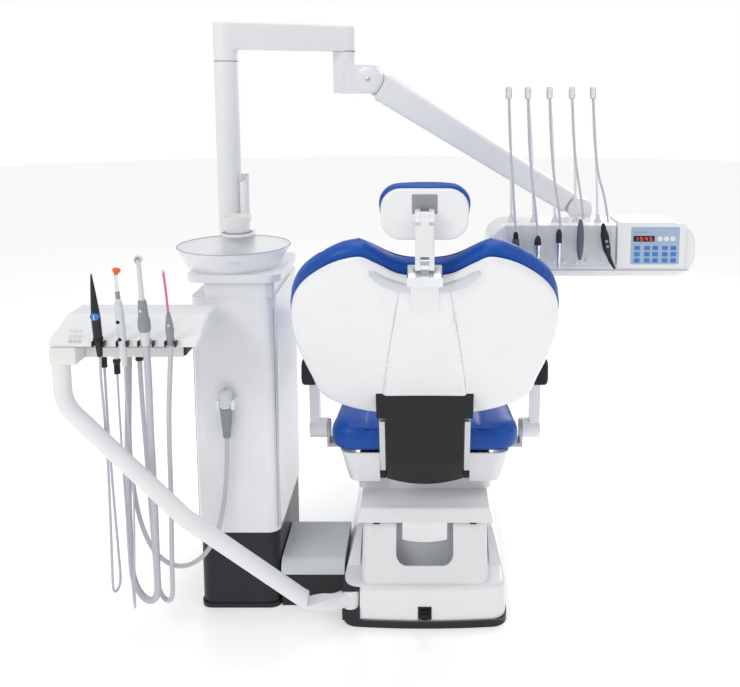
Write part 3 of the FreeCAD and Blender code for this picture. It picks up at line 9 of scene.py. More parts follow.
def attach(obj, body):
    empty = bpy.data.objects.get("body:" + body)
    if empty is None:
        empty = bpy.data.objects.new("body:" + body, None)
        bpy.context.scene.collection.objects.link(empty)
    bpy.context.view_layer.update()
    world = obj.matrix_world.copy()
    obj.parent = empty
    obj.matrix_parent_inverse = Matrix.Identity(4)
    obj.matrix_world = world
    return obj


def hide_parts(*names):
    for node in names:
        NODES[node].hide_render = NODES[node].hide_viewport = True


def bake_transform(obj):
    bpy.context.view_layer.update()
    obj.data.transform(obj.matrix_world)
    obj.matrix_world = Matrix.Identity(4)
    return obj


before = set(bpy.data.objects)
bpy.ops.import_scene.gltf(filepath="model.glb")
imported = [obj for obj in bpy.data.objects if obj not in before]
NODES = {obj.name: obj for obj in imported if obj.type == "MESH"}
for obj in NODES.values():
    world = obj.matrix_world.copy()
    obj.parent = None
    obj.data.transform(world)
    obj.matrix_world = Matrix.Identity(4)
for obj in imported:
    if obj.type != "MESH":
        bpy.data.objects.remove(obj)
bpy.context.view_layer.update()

TAU = math.tau


# ---- materials --------------------------------------------------------------

def surface(name, color, rough, metal=0.0, mottle=0.03, spread=0.05, size=14.0, grain=500.0, bump=0.05,
            cells=False, stretch=(1, 1, 1), **sockets):
    """Principled material whose colour, gloss and relief vary with procedural noise."""
    mat = bpy.data.materials.new(name)
    mat.use_nodes = True
    nodes, links = mat.node_tree.nodes, mat.node_tree.links
    shader = nodes["Principled BSDF"]
    shader.inputs["Metallic"].default_value = metal
    for key, value in sockets.items():
        shader.inputs[key.replace("_", " ")].default_value = value
    place = nodes.new("ShaderNodeTexCoord")
    mapping = nodes.new("ShaderNodeMapping")
    mapping.inputs["Scale"].default_value = stretch
    links.new(place.outputs["Object"], mapping.inputs["Vector"])
    cloud = nodes.new("ShaderNodeTexNoise")
    cloud.inputs["Scale"].default_value = size
    cloud.inputs["Detail"].default_value = 5
    links.new(mapping.outputs["Vector"], cloud.inputs["Vector"])
    tint = nodes.new("ShaderNodeMix")
    tint.data_type = "RGBA"
    tint.inputs["A"].default_value = [c * (1 - mottle) for c in color] + [1]
    tint.inputs["B"].default_value = [min(1, c * (1 + mottle)) for c in color] + [1]
    links.new(cloud.outputs["Fac"], tint.inputs["Factor"])
    links.new(tint.outputs["Result"], shader.inputs["Base Color"])
    patch = nodes.new("ShaderNodeTexNoise")
    patch.inputs["Scale"].default_value = size * 3.1
    patch.inputs["Detail"].default_value = 6
    links.new(mapping.outputs["Vector"], patch.inputs["Vector"])
    gloss = nodes.new("ShaderNodeMapRange")
    gloss.inputs["To Min"].default_value = max(0.02, rough - spread)
    gloss.inputs["To Max"].default_value = rough + spread
    links.new(patch.outputs["Fac"], gloss.inputs["Value"])
    links.new(gloss.outputs["Result"], shader.inputs["Roughness"])
    if cells:
        fine = nodes.new("ShaderNodeTexVoronoi")
        fine.feature = "SMOOTH_F1"
        height = fine.outputs["Distance"]
    else:
        fine = nodes.new("ShaderNodeTexNoise")
        fine.inputs["Detail"].default_value = 3
        height = fine.outputs["Fac"]
    fine.inputs["Scale"].default_value = grain
    links.new(mapping.outputs["Vector"], fine.inputs["Vector"])
    relief = nodes.new("ShaderNodeBump")
    relief.inputs["Strength"].default_value = bump
    relief.inputs["Distance"].default_value = 0.0006
    links.new(height, relief.inputs["Height"])
    links.new(relief.outputs["Normal"], shader.inputs["Normal"])
    return mat


WHITE = surface("white_moulding", (0.86, 0.87, 0.885), 0.24, Coat_Weight=0.35, Coat_Roughness=0.12, grain=260)
SATIN = surface("white_powder_coat", (0.84, 0.85, 0.865), 0.36, grain=900, bump=0.12)
WARM = surface("warm_white_moulding", (0.83, 0.82, 0.79), 0.3, Coat_Weight=0.2, grain=320)
PALE = surface("pale_grey_moulding", (0.68, 0.7, 0.73), 0.34, grain=420)
GREY = surface("grey_moulding", (0.3, 0.31, 0.33), 0.4, grain=420, bump=0.1)
CHARCOAL = surface("charcoal_moulding", (0.022, 0.024, 0.028), 0.34, mottle=0.2, grain=700, bump=0.16,
                   Specular_IOR_Level=0.25)
BLACK = surface("black_rubber", (0.009, 0.009, 0.01), 0.55, mottle=0.25, grain=900, bump=0.2,
                Specular_IOR_Level=0.25)
PAD = surface("armrest_foam", (0.02, 0.021, 0.024), 0.6, mottle=0.25, grain=1500, bump=0.35, cells=True,
              Specular_IOR_Level=0.25)
VINYL = surface("blue_upholstery", (0.003, 0.078, 0.41), 0.38, mottle=0.1, spread=0.07, size=9, grain=900,
                bump=0.22, cells=True, Specular_IOR_Level=0.35)
PIPING = surface("blue_piping", (0.004, 0.055, 0.31), 0.42, mottle=0.12, grain=900, bump=0.3, cells=True)
CHROME = surface("polished_chrome", (0.78, 0.79, 0.81), 0.09, metal=1.0, spread=0.04, grain=60, bump=0.02)
STEEL = surface("brushed_steel", (0.58, 0.59, 0.61), 0.28, metal=1.0, spread=0.08, grain=700, bump=0.15,
                stretch=(1, 1, 0.06))
ALLOY = surface("cast_alloy", (0.42, 0.43, 0.45), 0.42, metal=0.8, grain=600, bump=0.2)
HOSE = surface("lilac_grey_silicone", (0.52, 0.52, 0.6), 0.38, mottle=0.06, size=30, grain=800, bump=0.1,
               Subsurface_Weight=0.08)
RIBBED = surface("grey_suction_hose", (0.56, 0.57, 0.61), 0.45, mottle=0.06, size=30, grain=800, bump=0.1)
SAGE = surface("blue_grey_handle", (0.1, 0.125, 0.17), 0.42, mottle=0.12, grain=900, bump=0.2)
DARK = surface("dark_slate_handle", (0.05, 0.058, 0.075), 0.42, mottle=0.15, grain=900, bump=0.2)
FROST = surface("frosted_sleeve", (0.88, 0.9, 0.93), 0.3, mottle=0.02, grain=400, Transmission_Weight=0.75,
                IOR=1.4)
FOIL = surface("blue_grey_foil", (0.38, 0.5, 0.66), 0.4, mottle=0.04, grain=900, bump=0.1)
KEYS = surface("blue_key_foil", (0.07, 0.23, 0.6), 0.4, mottle=0.06, grain=900, bump=0.1)
SCREEN = surface("dark_display", (0.012, 0.006, 0.008), 0.12, mottle=0.3, grain=300)
LIT = surface("lit_red_segment", (0.9, 0.06, 0.05), 0.4, mottle=0.05, Emission_Color=(1, 0.1, 0.07, 1),
              Emission_Strength=1.6)
ORANGE = surface("orange_shield", (0.95, 0.13, 0.02), 0.25, mottle=0.06, Transmission_Weight=0.25)
PINK = surface("pink_tube", (0.9, 0.16, 0.38), 0.3, mottle=0.06, Transmission_Weight=0.2)
BLUE = surface("blue_ring", (0.03, 0.19, 0.62), 0.35, mottle=0.08)
CUP = surface("white_cup", (0.88, 0.88, 0.87), 0.4, mottle=0.02, grain=500, Subsurface_Weight=0.1)
MARKS = surface("grey_print", (0.33, 0.35, 0.39), 0.5, mottle=0.08)
SEAM = surface("seam_shadow", (0.2, 0.205, 0.215), 0.6, mottle=0.1)
COVER = surface("hinge_cover_moulding", (0.012, 0.013, 0.015), 0.34, mottle=0.15, size=20, grain=1400, bump=0.2,
                cells=True, Specular_IOR_Level=0.25)
BOWL = surface("milky_bowl_glass", (0.93, 0.94, 0.97), 0.12, mottle=0.01, spread=0.04, grain=50, Alpha=0.5)
RIDGE = surface("ridge_shade", (0.5, 0.51, 0.53), 0.5, mottle=0.05)
DEEP = surface("deep_blue_print", (0.02, 0.08, 0.3), 0.5, mottle=0.08)
STEELGREY = surface("slate_grey_handle", (0.27, 0.29, 0.32), 0.38, mottle=0.06, grain=500, bump=0.12)


# ---- mesh helpers -----------------------------------------------------------

def rotated(degrees, axis="X"):
    return Matrix.Rotation(math.radians(degrees), 4, axis)


def piece(name, mesh, mat, body, angle=35):
    """Object made of a bmesh, smooth shaded with sharp edges kept, riding on a body."""
    data = bpy.data.meshes.new(name)
    mesh.to_mesh(data)
    mesh.free()
    for face in data.polygons:
        face.use_smooth = True
    data.set_sharp_from_angle(angle=math.radians(angle))
    data.materials.append(mat)
    item = bpy.data.objects.new(name, data)
    bpy.context.scene.collection.objects.link(item)
    if body:
        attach(item, body)
    return item


def soften(mesh, width, segments=3, angle=30):
    """Round every edge that is sharper than angle."""
    sharp = [edge for edge in mesh.edges if len(edge.link_faces) == 2
             and edge.calc_face_angle(0) > math.radians(angle)]
    if sharp and width > 0:
        bmesh.ops.bevel(mesh, geom=sharp, offset=width, segments=segments, profile=0.5, affect="EDGES",
                        clamp_overlap=True)


def rounded_box(name, low, high, mat, body, edge=0.003, at=None, segments=3, corner=0.0, along="z"):
    """Box with rounded edges; corner first rounds the four edges along one axis."""
    mesh = bmesh.new()
    bmesh.ops.create_cube(mesh, size=1)
    low, high = Vector(low), Vector(high)
    for vertex in mesh.verts:
        vertex.co = Vector([(low[k] + high[k]) / 2 + vertex.co[k] * (high[k] - low[k]) for k in range(3)])
    if corner:
        axis = "xyz".index(along)
        edges = [e for e in mesh.edges if abs((e.verts[1].co - e.verts[0].co).normalized()[axis]) > 0.99]
        bmesh.ops.bevel(mesh, geom=edges, offset=corner, segments=8, profile=0.5, affect="EDGES",
                        clamp_overlap=True)
    soften(mesh, edge, segments)
    if at is not None:
        mesh.transform(at)
    return piece(name, mesh, mat, body)


def loft(name, rings, mat, body, at=None, closed=True, caps=True, angle=35):
    """Skin over rings of equally many points."""
    mesh = bmesh.new()
    rows = [[mesh.verts.new(point) for point in ring] for ring in rings]
    count = len(rows[0])
    for first, second in zip(rows, rows[1:]):
        for k in range(count if closed else count - 1):
            mesh.faces.new((first[k], first[(k + 1) % count], second[(k + 1) % count], second[k]))
    if caps:
        mesh.faces.new(rows[0])
        mesh.faces.new(rows[-1])
    bmesh.ops.recalc_face_normals(mesh, faces=mesh.faces)
    if at is not None:
        mesh.transform(at)
    return piece(name, mesh, mat, body, angle)


def lathe(name, profile, mat, body, at=None, sides=40, angle=35):
    """Turned piece about Z; profile is (height, radius), and a radius of nought closes it."""
    mesh = bmesh.new()
    rows = []
    for up, across in profile:
        if across < 1e-6:
            rows.append([mesh.verts.new((0, 0, up))])
        else:
            rows.append([mesh.verts.new((across * math.cos(turn), across * math.sin(turn), up))
                         for turn in (TAU * k / sides for k in range(sides))])
    for first, second in zip(rows, rows[1:]):
        for k in range(sides):
            j = (k + 1) % sides
            if len(first) == 1 and len(second) == 1:
                continue
            if len(first) == 1:
                mesh.faces.new((first[0], second[j], second[k]))
            elif len(second) == 1:
                mesh.faces.new((first[k], first[j], second[0]))
            else:
                mesh.faces.new((first[k], first[j], second[j], second[k]))
    for row in (rows[0], rows[-1]):
        if len(row) > 1:
            mesh.faces.new(row)
    bmesh.ops.recalc_face_normals(mesh, faces=mesh.faces)
    if at is not None:
        mesh.transform(at)
    return piece(name, mesh, mat, body, angle)


def spun(profile, steps=6):
    """Profile with each stretch divided along a smooth curve through its points."""
    points = [Vector((a, b)) for a, b in profile]
    out = []
    for k in range(len(points) - 1):
        before = points[max(k - 1, 0)]
        here, there = points[k], points[k + 1]
        after = points[min(k + 2, len(points) - 1)]
        for step in range(steps):
            t = step / steps
            spot = 0.5 * (2 * here + (there - before) * t + (2 * before - 5 * here + 4 * there - after) * t * t
                          + (3 * here - before - 3 * there + after) * t ** 3)
            out.append((spot.x, max(0.0, spot.y)))
    out.append(tuple(points[-1]))
    return out


def tube_mesh(points, radius, sides=16):
    """Tube along points; radius is a number or a function of the distance along it."""
    mesh = bmesh.new()
    points = [Vector(p) for p in points]
    travelled, rows = 0.0, []
    ahead = (points[1] - points[0]).normalized()
    side = ahead.orthogonal().normalized()
    for k, spot in enumerate(points):
        if k:
            travelled += (spot - points[k - 1]).length
        onward = (points[min(k + 1, len(points) - 1)] - points[max(k - 1, 0)]).normalized()
        side = (side - onward * side.dot(onward)).normalized()
        other = onward.cross(side)
        size = radius(travelled) if callable(radius) else radius
        rows.append([mesh.verts.new(spot + size * (math.cos(turn) * side + math.sin(turn) * other))
                     for turn in (TAU * j / sides for j in range(sides))])
    for first, second in zip(rows, rows[1:]):
        for k in range(sides):
            mesh.faces.new((first[k], first[(k + 1) % sides], second[(k + 1) % sides], second[k]))
    mesh.faces.new(rows[0])
    mesh.faces.new(rows[-1])
    bmesh.ops.recalc_face_normals(mesh, faces=mesh.faces)
    return mesh


def wire(name, points, radius, mat, body, at=None, sides=12):
    mesh = tube_mesh(points, radius, sides)
    if at is not None:
        mesh.transform(at)
    return piece(name, mesh, mat, body, 60)


def arc(centre, radius, first, last, count=12):
    """Points (a, b) on an arc between two angles in degrees."""
    return [(centre[0] + radius * math.cos(math.radians(first + (last - first) * k / count)),
             centre[1] + radius * math.sin(math.radians(first + (last - first) * k / count)))
            for k in range(count + 1)]


def dress(mat, *names):
    """Give CAD nodes a material in place of the plain one."""
    for name in names:
        data = NODES[name].data
        data.materials.clear()
        data.materials.append(mat)


# ---- camera, light and floor ------------------------------------------------

def studio():
    camera = bpy.data.objects.new("camera", bpy.data.cameras.new("camera"))
    bpy.context.scene.collection.objects.link(camera)
    camera.location = (0, -2.33, 1.38)
    camera.rotation_euler = (math.radians(82.3), 0, 0)
    camera.data.lens = 41.9
    camera.data.shift_x = -0.074
    camera.data.shift_y = -0.195
    bpy.context.scene.camera = camera
    world = bpy.data.worlds.new("studio")
    bpy.context.scene.world = world
    world.use_nodes = True
    light = world.node_tree.nodes["Background"]
    light.inputs["Strength"].default_value = 0.6
    backdrop = world.node_tree.nodes.new("ShaderNodeBackground")
    backdrop.inputs["Color"].default_value = (1, 1, 1, 1)
    light.inputs["Color"].default_value = (1, 1, 1, 1)
    seen = world.node_tree.nodes.new("ShaderNodeLightPath")
    either = world.node_tree.nodes.new("ShaderNodeMixShader")
    links = world.node_tree.links
    links.new(seen.outputs["Is Camera Ray"], either.inputs["Fac"])
    links.new(light.outputs["Background"], either.inputs[1])
    links.new(backdrop.outputs["Background"], either.inputs[2])
    links.new(either.outputs["Shader"], world.node_tree.nodes["World Output"].inputs["Surface"])
    for name, spot, aim, size, power in (
            ("key", (-2.6, -3.2, 3.2), (0, 0, 0.8), 1.6, 42), ("fill", (3.2, -2.4, 2.4), (0, 0, 0.8), 2.0, 12),
            ("top", (0, 0.4, 4.2), (0, 0, 0), 3.0, 40), ("back", (1.6, 3.4, 2.2), (0.2, 0, 1.0), 1.8, 30)):
        lamp = bpy.data.objects.new(name, bpy.data.lights.new(name, "AREA"))
        lamp.data.size = size
        lamp.data.energy = power
        lamp.location = spot
        lamp.rotation_euler = (Vector(aim) - Vector(spot)).to_track_quat("-Z", "Y").to_euler()
        bpy.context.scene.collection.objects.link(lamp)
    mesh = bmesh.new()
    bmesh.ops.create_circle(mesh, cap_ends=True, segments=64, radius=14)
    floor = piece("studio_floor", mesh, surface("studio_floor", (0.84, 0.845, 0.85), 0.16, mottle=0.01, size=1,
                                                grain=40, bump=0.01, Emission_Color=(1, 1, 1, 1),
                                                Emission_Strength=0.38), None)
    floor.location.z = -0.0006
    bpy.context.scene.view_settings.view_transform = "Standard"


# ---- hoses ------------------------------------------------------------------

# Diameter, stated length and route of each hose of the assistant's tray, from instrument to gland.
HOSES = {
    "cautery": (0.006, 1.204, "cautery_handle", [
        (-.736, -.4428, .7652), (-.741, -.434, .716), (-.746, -.412, .640), (-.749, -.397, .550),
        (-.750, -.393, .455), (-.752, -.390, .365), (-.754, -.3875, .285), (-.7555, -.3865, .225),
        (-.756, -.386, .186), (-.756, -.386, .1591), (-.7548, -.374, .147), (-.7532, -.357, .147),
        (-.752, -.345, .1591), (-.7525, -.3445, .191), (-.7545, -.3435, .231), (-.757, -.343, .295),
        (-.760, -.3425, .375), (-.7625, -.3425, .460), (-.764, -.3435, .545), (-.765, -.3445, .628),
        (-.765, -.345, .7055)]),
    "curing_light": (0.0048, 1.252, "curing_light", [
        (-.682, -.4393, .7404), (-.687, -.429, .690), (-.692, -.410, .622), (-.695, -.396, .540),
        (-.694, -.388, .460), (-.696, -.385, .380), (-.699, -.3835, .305), (-.702, -.383, .236),
        (-.7045, -.383, .180), (-.705, -.383, .146), (-.7052, -.383, .1152), (-.710, -.3719, .103),
        (-.717, -.3561, .103), (-.722, -.345, .1152), (-.723, -.345, .146), (-.7245, -.3455, .181),
        (-.726, -.346, .236), (-.7285, -.3465, .305), (-.730, -.347, .385), (-.732, -.347, .465),
        (-.7335, -.346, .545), (-.735, -.345, .622), (-.735, -.3455, .6896)]),
    "suction": (0.017, 1.397, "suction_handpiece", [
        (-.629, -.4467, .7926), (-.633, -.429, .704), (-.645, -.397, .590), (-.652, -.371, .470),
        (-.656, -.357, .350), (-.658, -.3535, .245), (-.6585, -.353, .180), (-.658, -.353, .1267),
        (-.6838, -.3313, .093), (-.7202, -.3007, .093), (-.746, -.279, .1267), (-.7475, -.278, .177),
        (-.749, -.277, .242), (-.749, -.276, .330), (-.745, -.2755, .455), (-.737, -.276, .590),
        (-.730, -.277, .7152)]),
    "saliva": (0.012, 1.362, "saliva_ejector", [
        (-.573, -.4467, .7928), (-.583, -.432, .716), (-.598, -.402, .622), (-.608, -.377, .520),
        (-.613, -.362, .420), (-.617, -.355, .330), (-.620, -.353, .255), (-.622, -.352, .190),
        (-.622, -.352, .121), (-.639, -.335, .097), (-.663, -.311, .097), (-.680, -.294, .121),
        (-.682, -.293, .190), (-.6845, -.2925, .250), (-.6875, -.292, .330), (-.6905, -.292, .420),
        (-.6935, -.2925, .515), (-.697, -.293, .610), (-.698, -.293, .7057)]),
}
PARKED = (0.012, 1.008, [
    (-.5045, -.234, .4838), (-.506, -.235, .425), (-.511, -.237, .352), (-.521, -.240, .278),
    (-.541, -.243, .212), (-.574, -.246, .162), (-.618, -.249, .138), (-.662, -.250, .146),
    (-.700, -.251, .184), (-.726, -.251, .248), (-.741, -.2505, .330), (-.748, -.250, .420),
    (-.748, -.249, .520), (-.744, -.249, .620), (-.738, -.249, .7053)])
# Place along the tray, tip of the whip, top of the handle and length of the hose of each instrument.
TRAY_TOOLS = {
    "spray_handpiece": (.243, .229, .985, .377), "straight_handpiece": (.302, .281, .975, .387),
    "contra_angle": (.362, .340, .993, .370), "scaler": (.422, .401, 1.020, .345),
    "air_syringe": (.488, .458, 1.010, .355),
}


def smooth_line(points):
    """Points along the NURBS curve that has the route as its control points."""
    curve = bpy.data.curves.new("route", "CURVE")
    curve.dimensions = "3D"
    curve.resolution_u = 40
    spline = curve.splines.new("NURBS")
    spline.points.add(len(points) - 1)
    for point, spot in zip(spline.points, points):
        point.co = (*spot, 1)
    spline.order_u = 3
    spline.use_endpoint_u = True
    item = bpy.data.objects.new("route", curve)
    bpy.context.scene.collection.objects.link(item)
    line = bpy.data.meshes.new_from_object(item)
    spots = [vertex.co.copy() for vertex in line.vertices]
    bpy.data.objects.remove(item)
    bpy.data.curves.remove(curve)
    bpy.data.meshes.remove(line)
    return spots


def evenly(spots, step):
    """The same line with its points a given distance apart."""
    out, left = [spots[0]], step
    for first, second in zip(spots, spots[1:]):
        span = (second - first).length
        while span >= left:
            first = first + (second - first).normalized() * left
            out.append(first)
            span, left = (second - first).length, step
        left -= span
    if (out[-1] - spots[-1]).length > step * 0.3:
        out.append(spots[-1])
    else:
        out[-1] = spots[-1]
    return out


def hose(name, route, diameter, node, ribs=None, mat=None):
    """Hose along a smoothed route, ribbed where ribs holds, in place of the CAD node that it hides."""
    radius = diameter / 2
    spots = evenly(smooth_line(route), 0.0011 if ribs else 0.006)
    size = (lambda s: radius * (0.94 + 0.06 * math.cos(TAU * s / 0.0044)) if ribs(s) else radius * 0.97) \
        if ribs else radius
    item = piece(name, tube_mesh(spots, size, 14), mat or HOSE, None, 60)
    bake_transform(item)
    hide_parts(node)
    return item


def hoses():
    for name, (diameter, length, body, route) in HOSES.items():
        ribs = (lambda s: True) if name in ("suction", "saliva") else None
        hose(name + "_line", route, diameter, name + "_hose",
             ribs, RIBBED if ribs else HOSE)
    diameter, length, route = PARKED
    hose("parked_line", route, diameter, "parked_hose",
         lambda s: s < 0.2, RIBBED)
    for name, (place, tip, top, length) in TRAY_TOOLS.items():
        start = Vector((tip, 0.028, 1.3372))
        end = Vector((place, -0.066, top + 0.0008))
        fall = start.z - end.z
        route = [start, (tip + .001, start.y - .011, start.z - 0.2 * fall),
                 (tip + .004, start.y - .028, start.z - 0.42 * fall),
                 (tip + .009, start.y - .052, start.z - 0.63 * fall),
                 (place - .004, end.y + .014, end.z + 0.17 * fall), end]
        hose(name + "_line", route, 0.0064, "tray_hoses")


# ---- cushions ---------------------------------------------------------------

BACK = Matrix.Translation((0, -0.23, 0.555)) @ rotated(125)
HEAD = Matrix.Translation((0, -0.566, 1.104)) @ rotated(98)
# Half outline of the backrest: distance up the slope and half width.
BACK_HALF = [(0, .121), (.064, .249), (.160, .282), (.305, .308), (.420, .304), (.496, .275), (.556, .211),
             (.580, .146), (.562, .109), (.530, .064), (.521, .030), (.521, 0)]


def whole(half):
    """Closed outline (x, y) from its right half, which ends on the middle line."""
    right = [(x, y) for y, x in half]
    return right + [(-x, y) for x, y in reversed(right[:-1])]


def slab_outline(low, high, near, far, corner, steps=14):
    """Rounded outline between two heights; near and far are its half widths there."""
    out = []
    for x, y, start in ((near, low, -90), (far, high, 0), (-far, high, 90), (-near, low, 180)):
        cx = x - corner if x > 0 else x + corner
        cy = y + corner if y == low else y - corner
        out += arc((cx, cy), corner, start, start + 90, steps)
    return out


def even_ring(outline, count, smooth=True):
    """Outline divided into equal steps, along a smooth closed curve or along its own straight runs."""
    line = []
    total = len(outline)
    points = [Vector(p) for p in outline]
    for k in range(total):
        before, here, there, after = (points[(k + j) % total] for j in (-1, 0, 1, 2))
        if not smooth:
            line.append(here.copy())
            continue
        for step in range(10):
            t = step / 10
            bend = 2 * before - 5 * here + 4 * there - after
            twist = 3 * here - before - 3 * there + after
            line.append(0.5 * (2 * here + (there - before) * t + bend * t * t + twist * t ** 3))
    line.append(line[0])
    lengths = [0.0]
    for first, second in zip(line, line[1:]):
        lengths.append(lengths[-1] + (second - first).length)
    ring, k = [], 0
    for step in range(count):
        wanted = lengths[-1] * step / count
        while lengths[k + 1] < wanted:
            k += 1
        share = (wanted - lengths[k]) / (lengths[k + 1] - lengths[k])
        ring.append(line[k].lerp(line[k + 1], share))
    return ring


def layered(name, outline, centre, layers, mat, body, at, count=200, angle=60, smooth=True):
    """Closed form in layers (inset, share, height) of an outline, moved in and then drawn to the centre."""
    ring = even_ring(outline, count, smooth)
    area = sum(a.x * b.y - b.x * a.y for a, b in zip(ring, ring[1:] + ring[:1]))
    turn = 1 if area > 0 else -1
    inward = []
    for k, here in enumerate(ring):
        along = ring[(k + 1) % count] - ring[k - 1]
        inward.append(Vector((-along.y, along.x)).normalized() * turn)
    middle = Vector(centre)
    rows = [[(*((here + way * inset - middle) * share + middle), height) for here, way in zip(ring, inward)]
            for inset, share, height in layers]
    return loft(name, rows, mat, body, at, angle=angle)


def refine(item, voxel):
    """Rebuild a closed form as an even, smooth skin that is fine enough to be sculpted."""
    remesh = item.modifiers.new("remesh", "REMESH")
    remesh.mode = "VOXEL"
    remesh.voxel_size = voxel
    smooth = item.modifiers.new("smooth", "SMOOTH")
    smooth.factor = 0.5
    smooth.iterations = 4
    mat = item.data.materials[0]
    item.data = bpy.data.meshes.new_from_object(item.evaluated_get(bpy.context.evaluated_depsgraph_get()))
    item.modifiers.clear()
    item.data.materials.clear()
    item.data.materials.append(mat)
    for face in item.data.polygons:
        face.use_smooth = True


def stuff(item, voxel, most, pressure=4.0):
    """Swell a closed form by cloth simulation; no point moves further than most."""
    refine(item, voxel)
    rest = [vertex.co.copy() for vertex in item.data.vertices]
    cloth = item.modifiers.new("cloth", "CLOTH")
    cloth.settings.use_pressure = True
    cloth.settings.uniform_pressure_force = pressure
    cloth.settings.effector_weights.gravity = 0
    cloth.settings.quality = 3
    cloth.point_cache.frame_end = 20
    for number in range(1, 21):
        bpy.context.scene.frame_set(number)
    swollen = item.evaluated_get(bpy.context.evaluated_depsgraph_get())
    moved = [vertex.co.copy() for vertex in swollen.data.vertices]
    item.modifiers.clear()
    bpy.context.scene.frame_set(1)
    for vertex, before, after in zip(item.data.vertices, rest, moved):
        step = after - before
        vertex.co = before + step * min(1, most / max(step.length, 1e-9))
    fine = item.modifiers.new("fine", "SUBSURF")
    fine.levels = 1
    item.data = bpy.data.meshes.new_from_object(item.evaluated_get(bpy.context.evaluated_depsgraph_get()))
    item.modifiers.clear()
    for face in item.data.polygons:
        face.use_smooth = True


# Cosine below which a face looks too far away from a seam to be pressed by it.
TURNED_AWAY = 0.25


def groove(item, distance, depth, width, at, facing):
    """Sew a cushion down where distance(local point) is nought, so that it crowns between its seams."""
    back = at.inverted()
    way = (at.to_3x3() @ Vector(facing)).normalized()
    facings = [vertex.normal.dot(way) for vertex in item.data.vertices]
    for vertex, turned in zip(item.data.vertices, facings):
        if turned > TURNED_AWAY:
            off = distance(back @ vertex.co)
            press = math.exp(-(off / width) ** 2) + 0.9 * math.exp(-(off / (width * 6)) ** 2)
            vertex.co -= way * depth * press * min(1, (turned - TURNED_AWAY) / 0.4)


def skin_of(item):
    """Search tree over a piece's faces."""
    return BVHTree.FromPolygons([vertex.co for vertex in item.data.vertices],
                                [face.vertices for face in item.data.polygons])


def stitched(item, line, radius, mat, body, name, at, facing, sink=0.0):
    """Piping cord that lies on a cushion's surface along a line of local points."""
    spots = []
    back = at.inverted()
    skin = skin_of(item)
    for spot in line:
        where = skin.find_nearest(at @ Vector(spot))[0]
        spots.append(back @ where - Vector(facing) * sink)
    for _ in range(4):
        spots = [spots[0]] + [(a + b * 2 + c) / 4 for a, b, c in zip(spots, spots[1:], spots[2:])] + [spots[-1]]
    return wire(name, spots, radius, mat, body, at)


# The backrest's two ridge lines: where they start, how far they run, and how they near each other.
RIDGE_FOOT, RIDGE_RUN = .02, .47


def ridge_half(share):
    return .105 - .052 * share ** 1.4


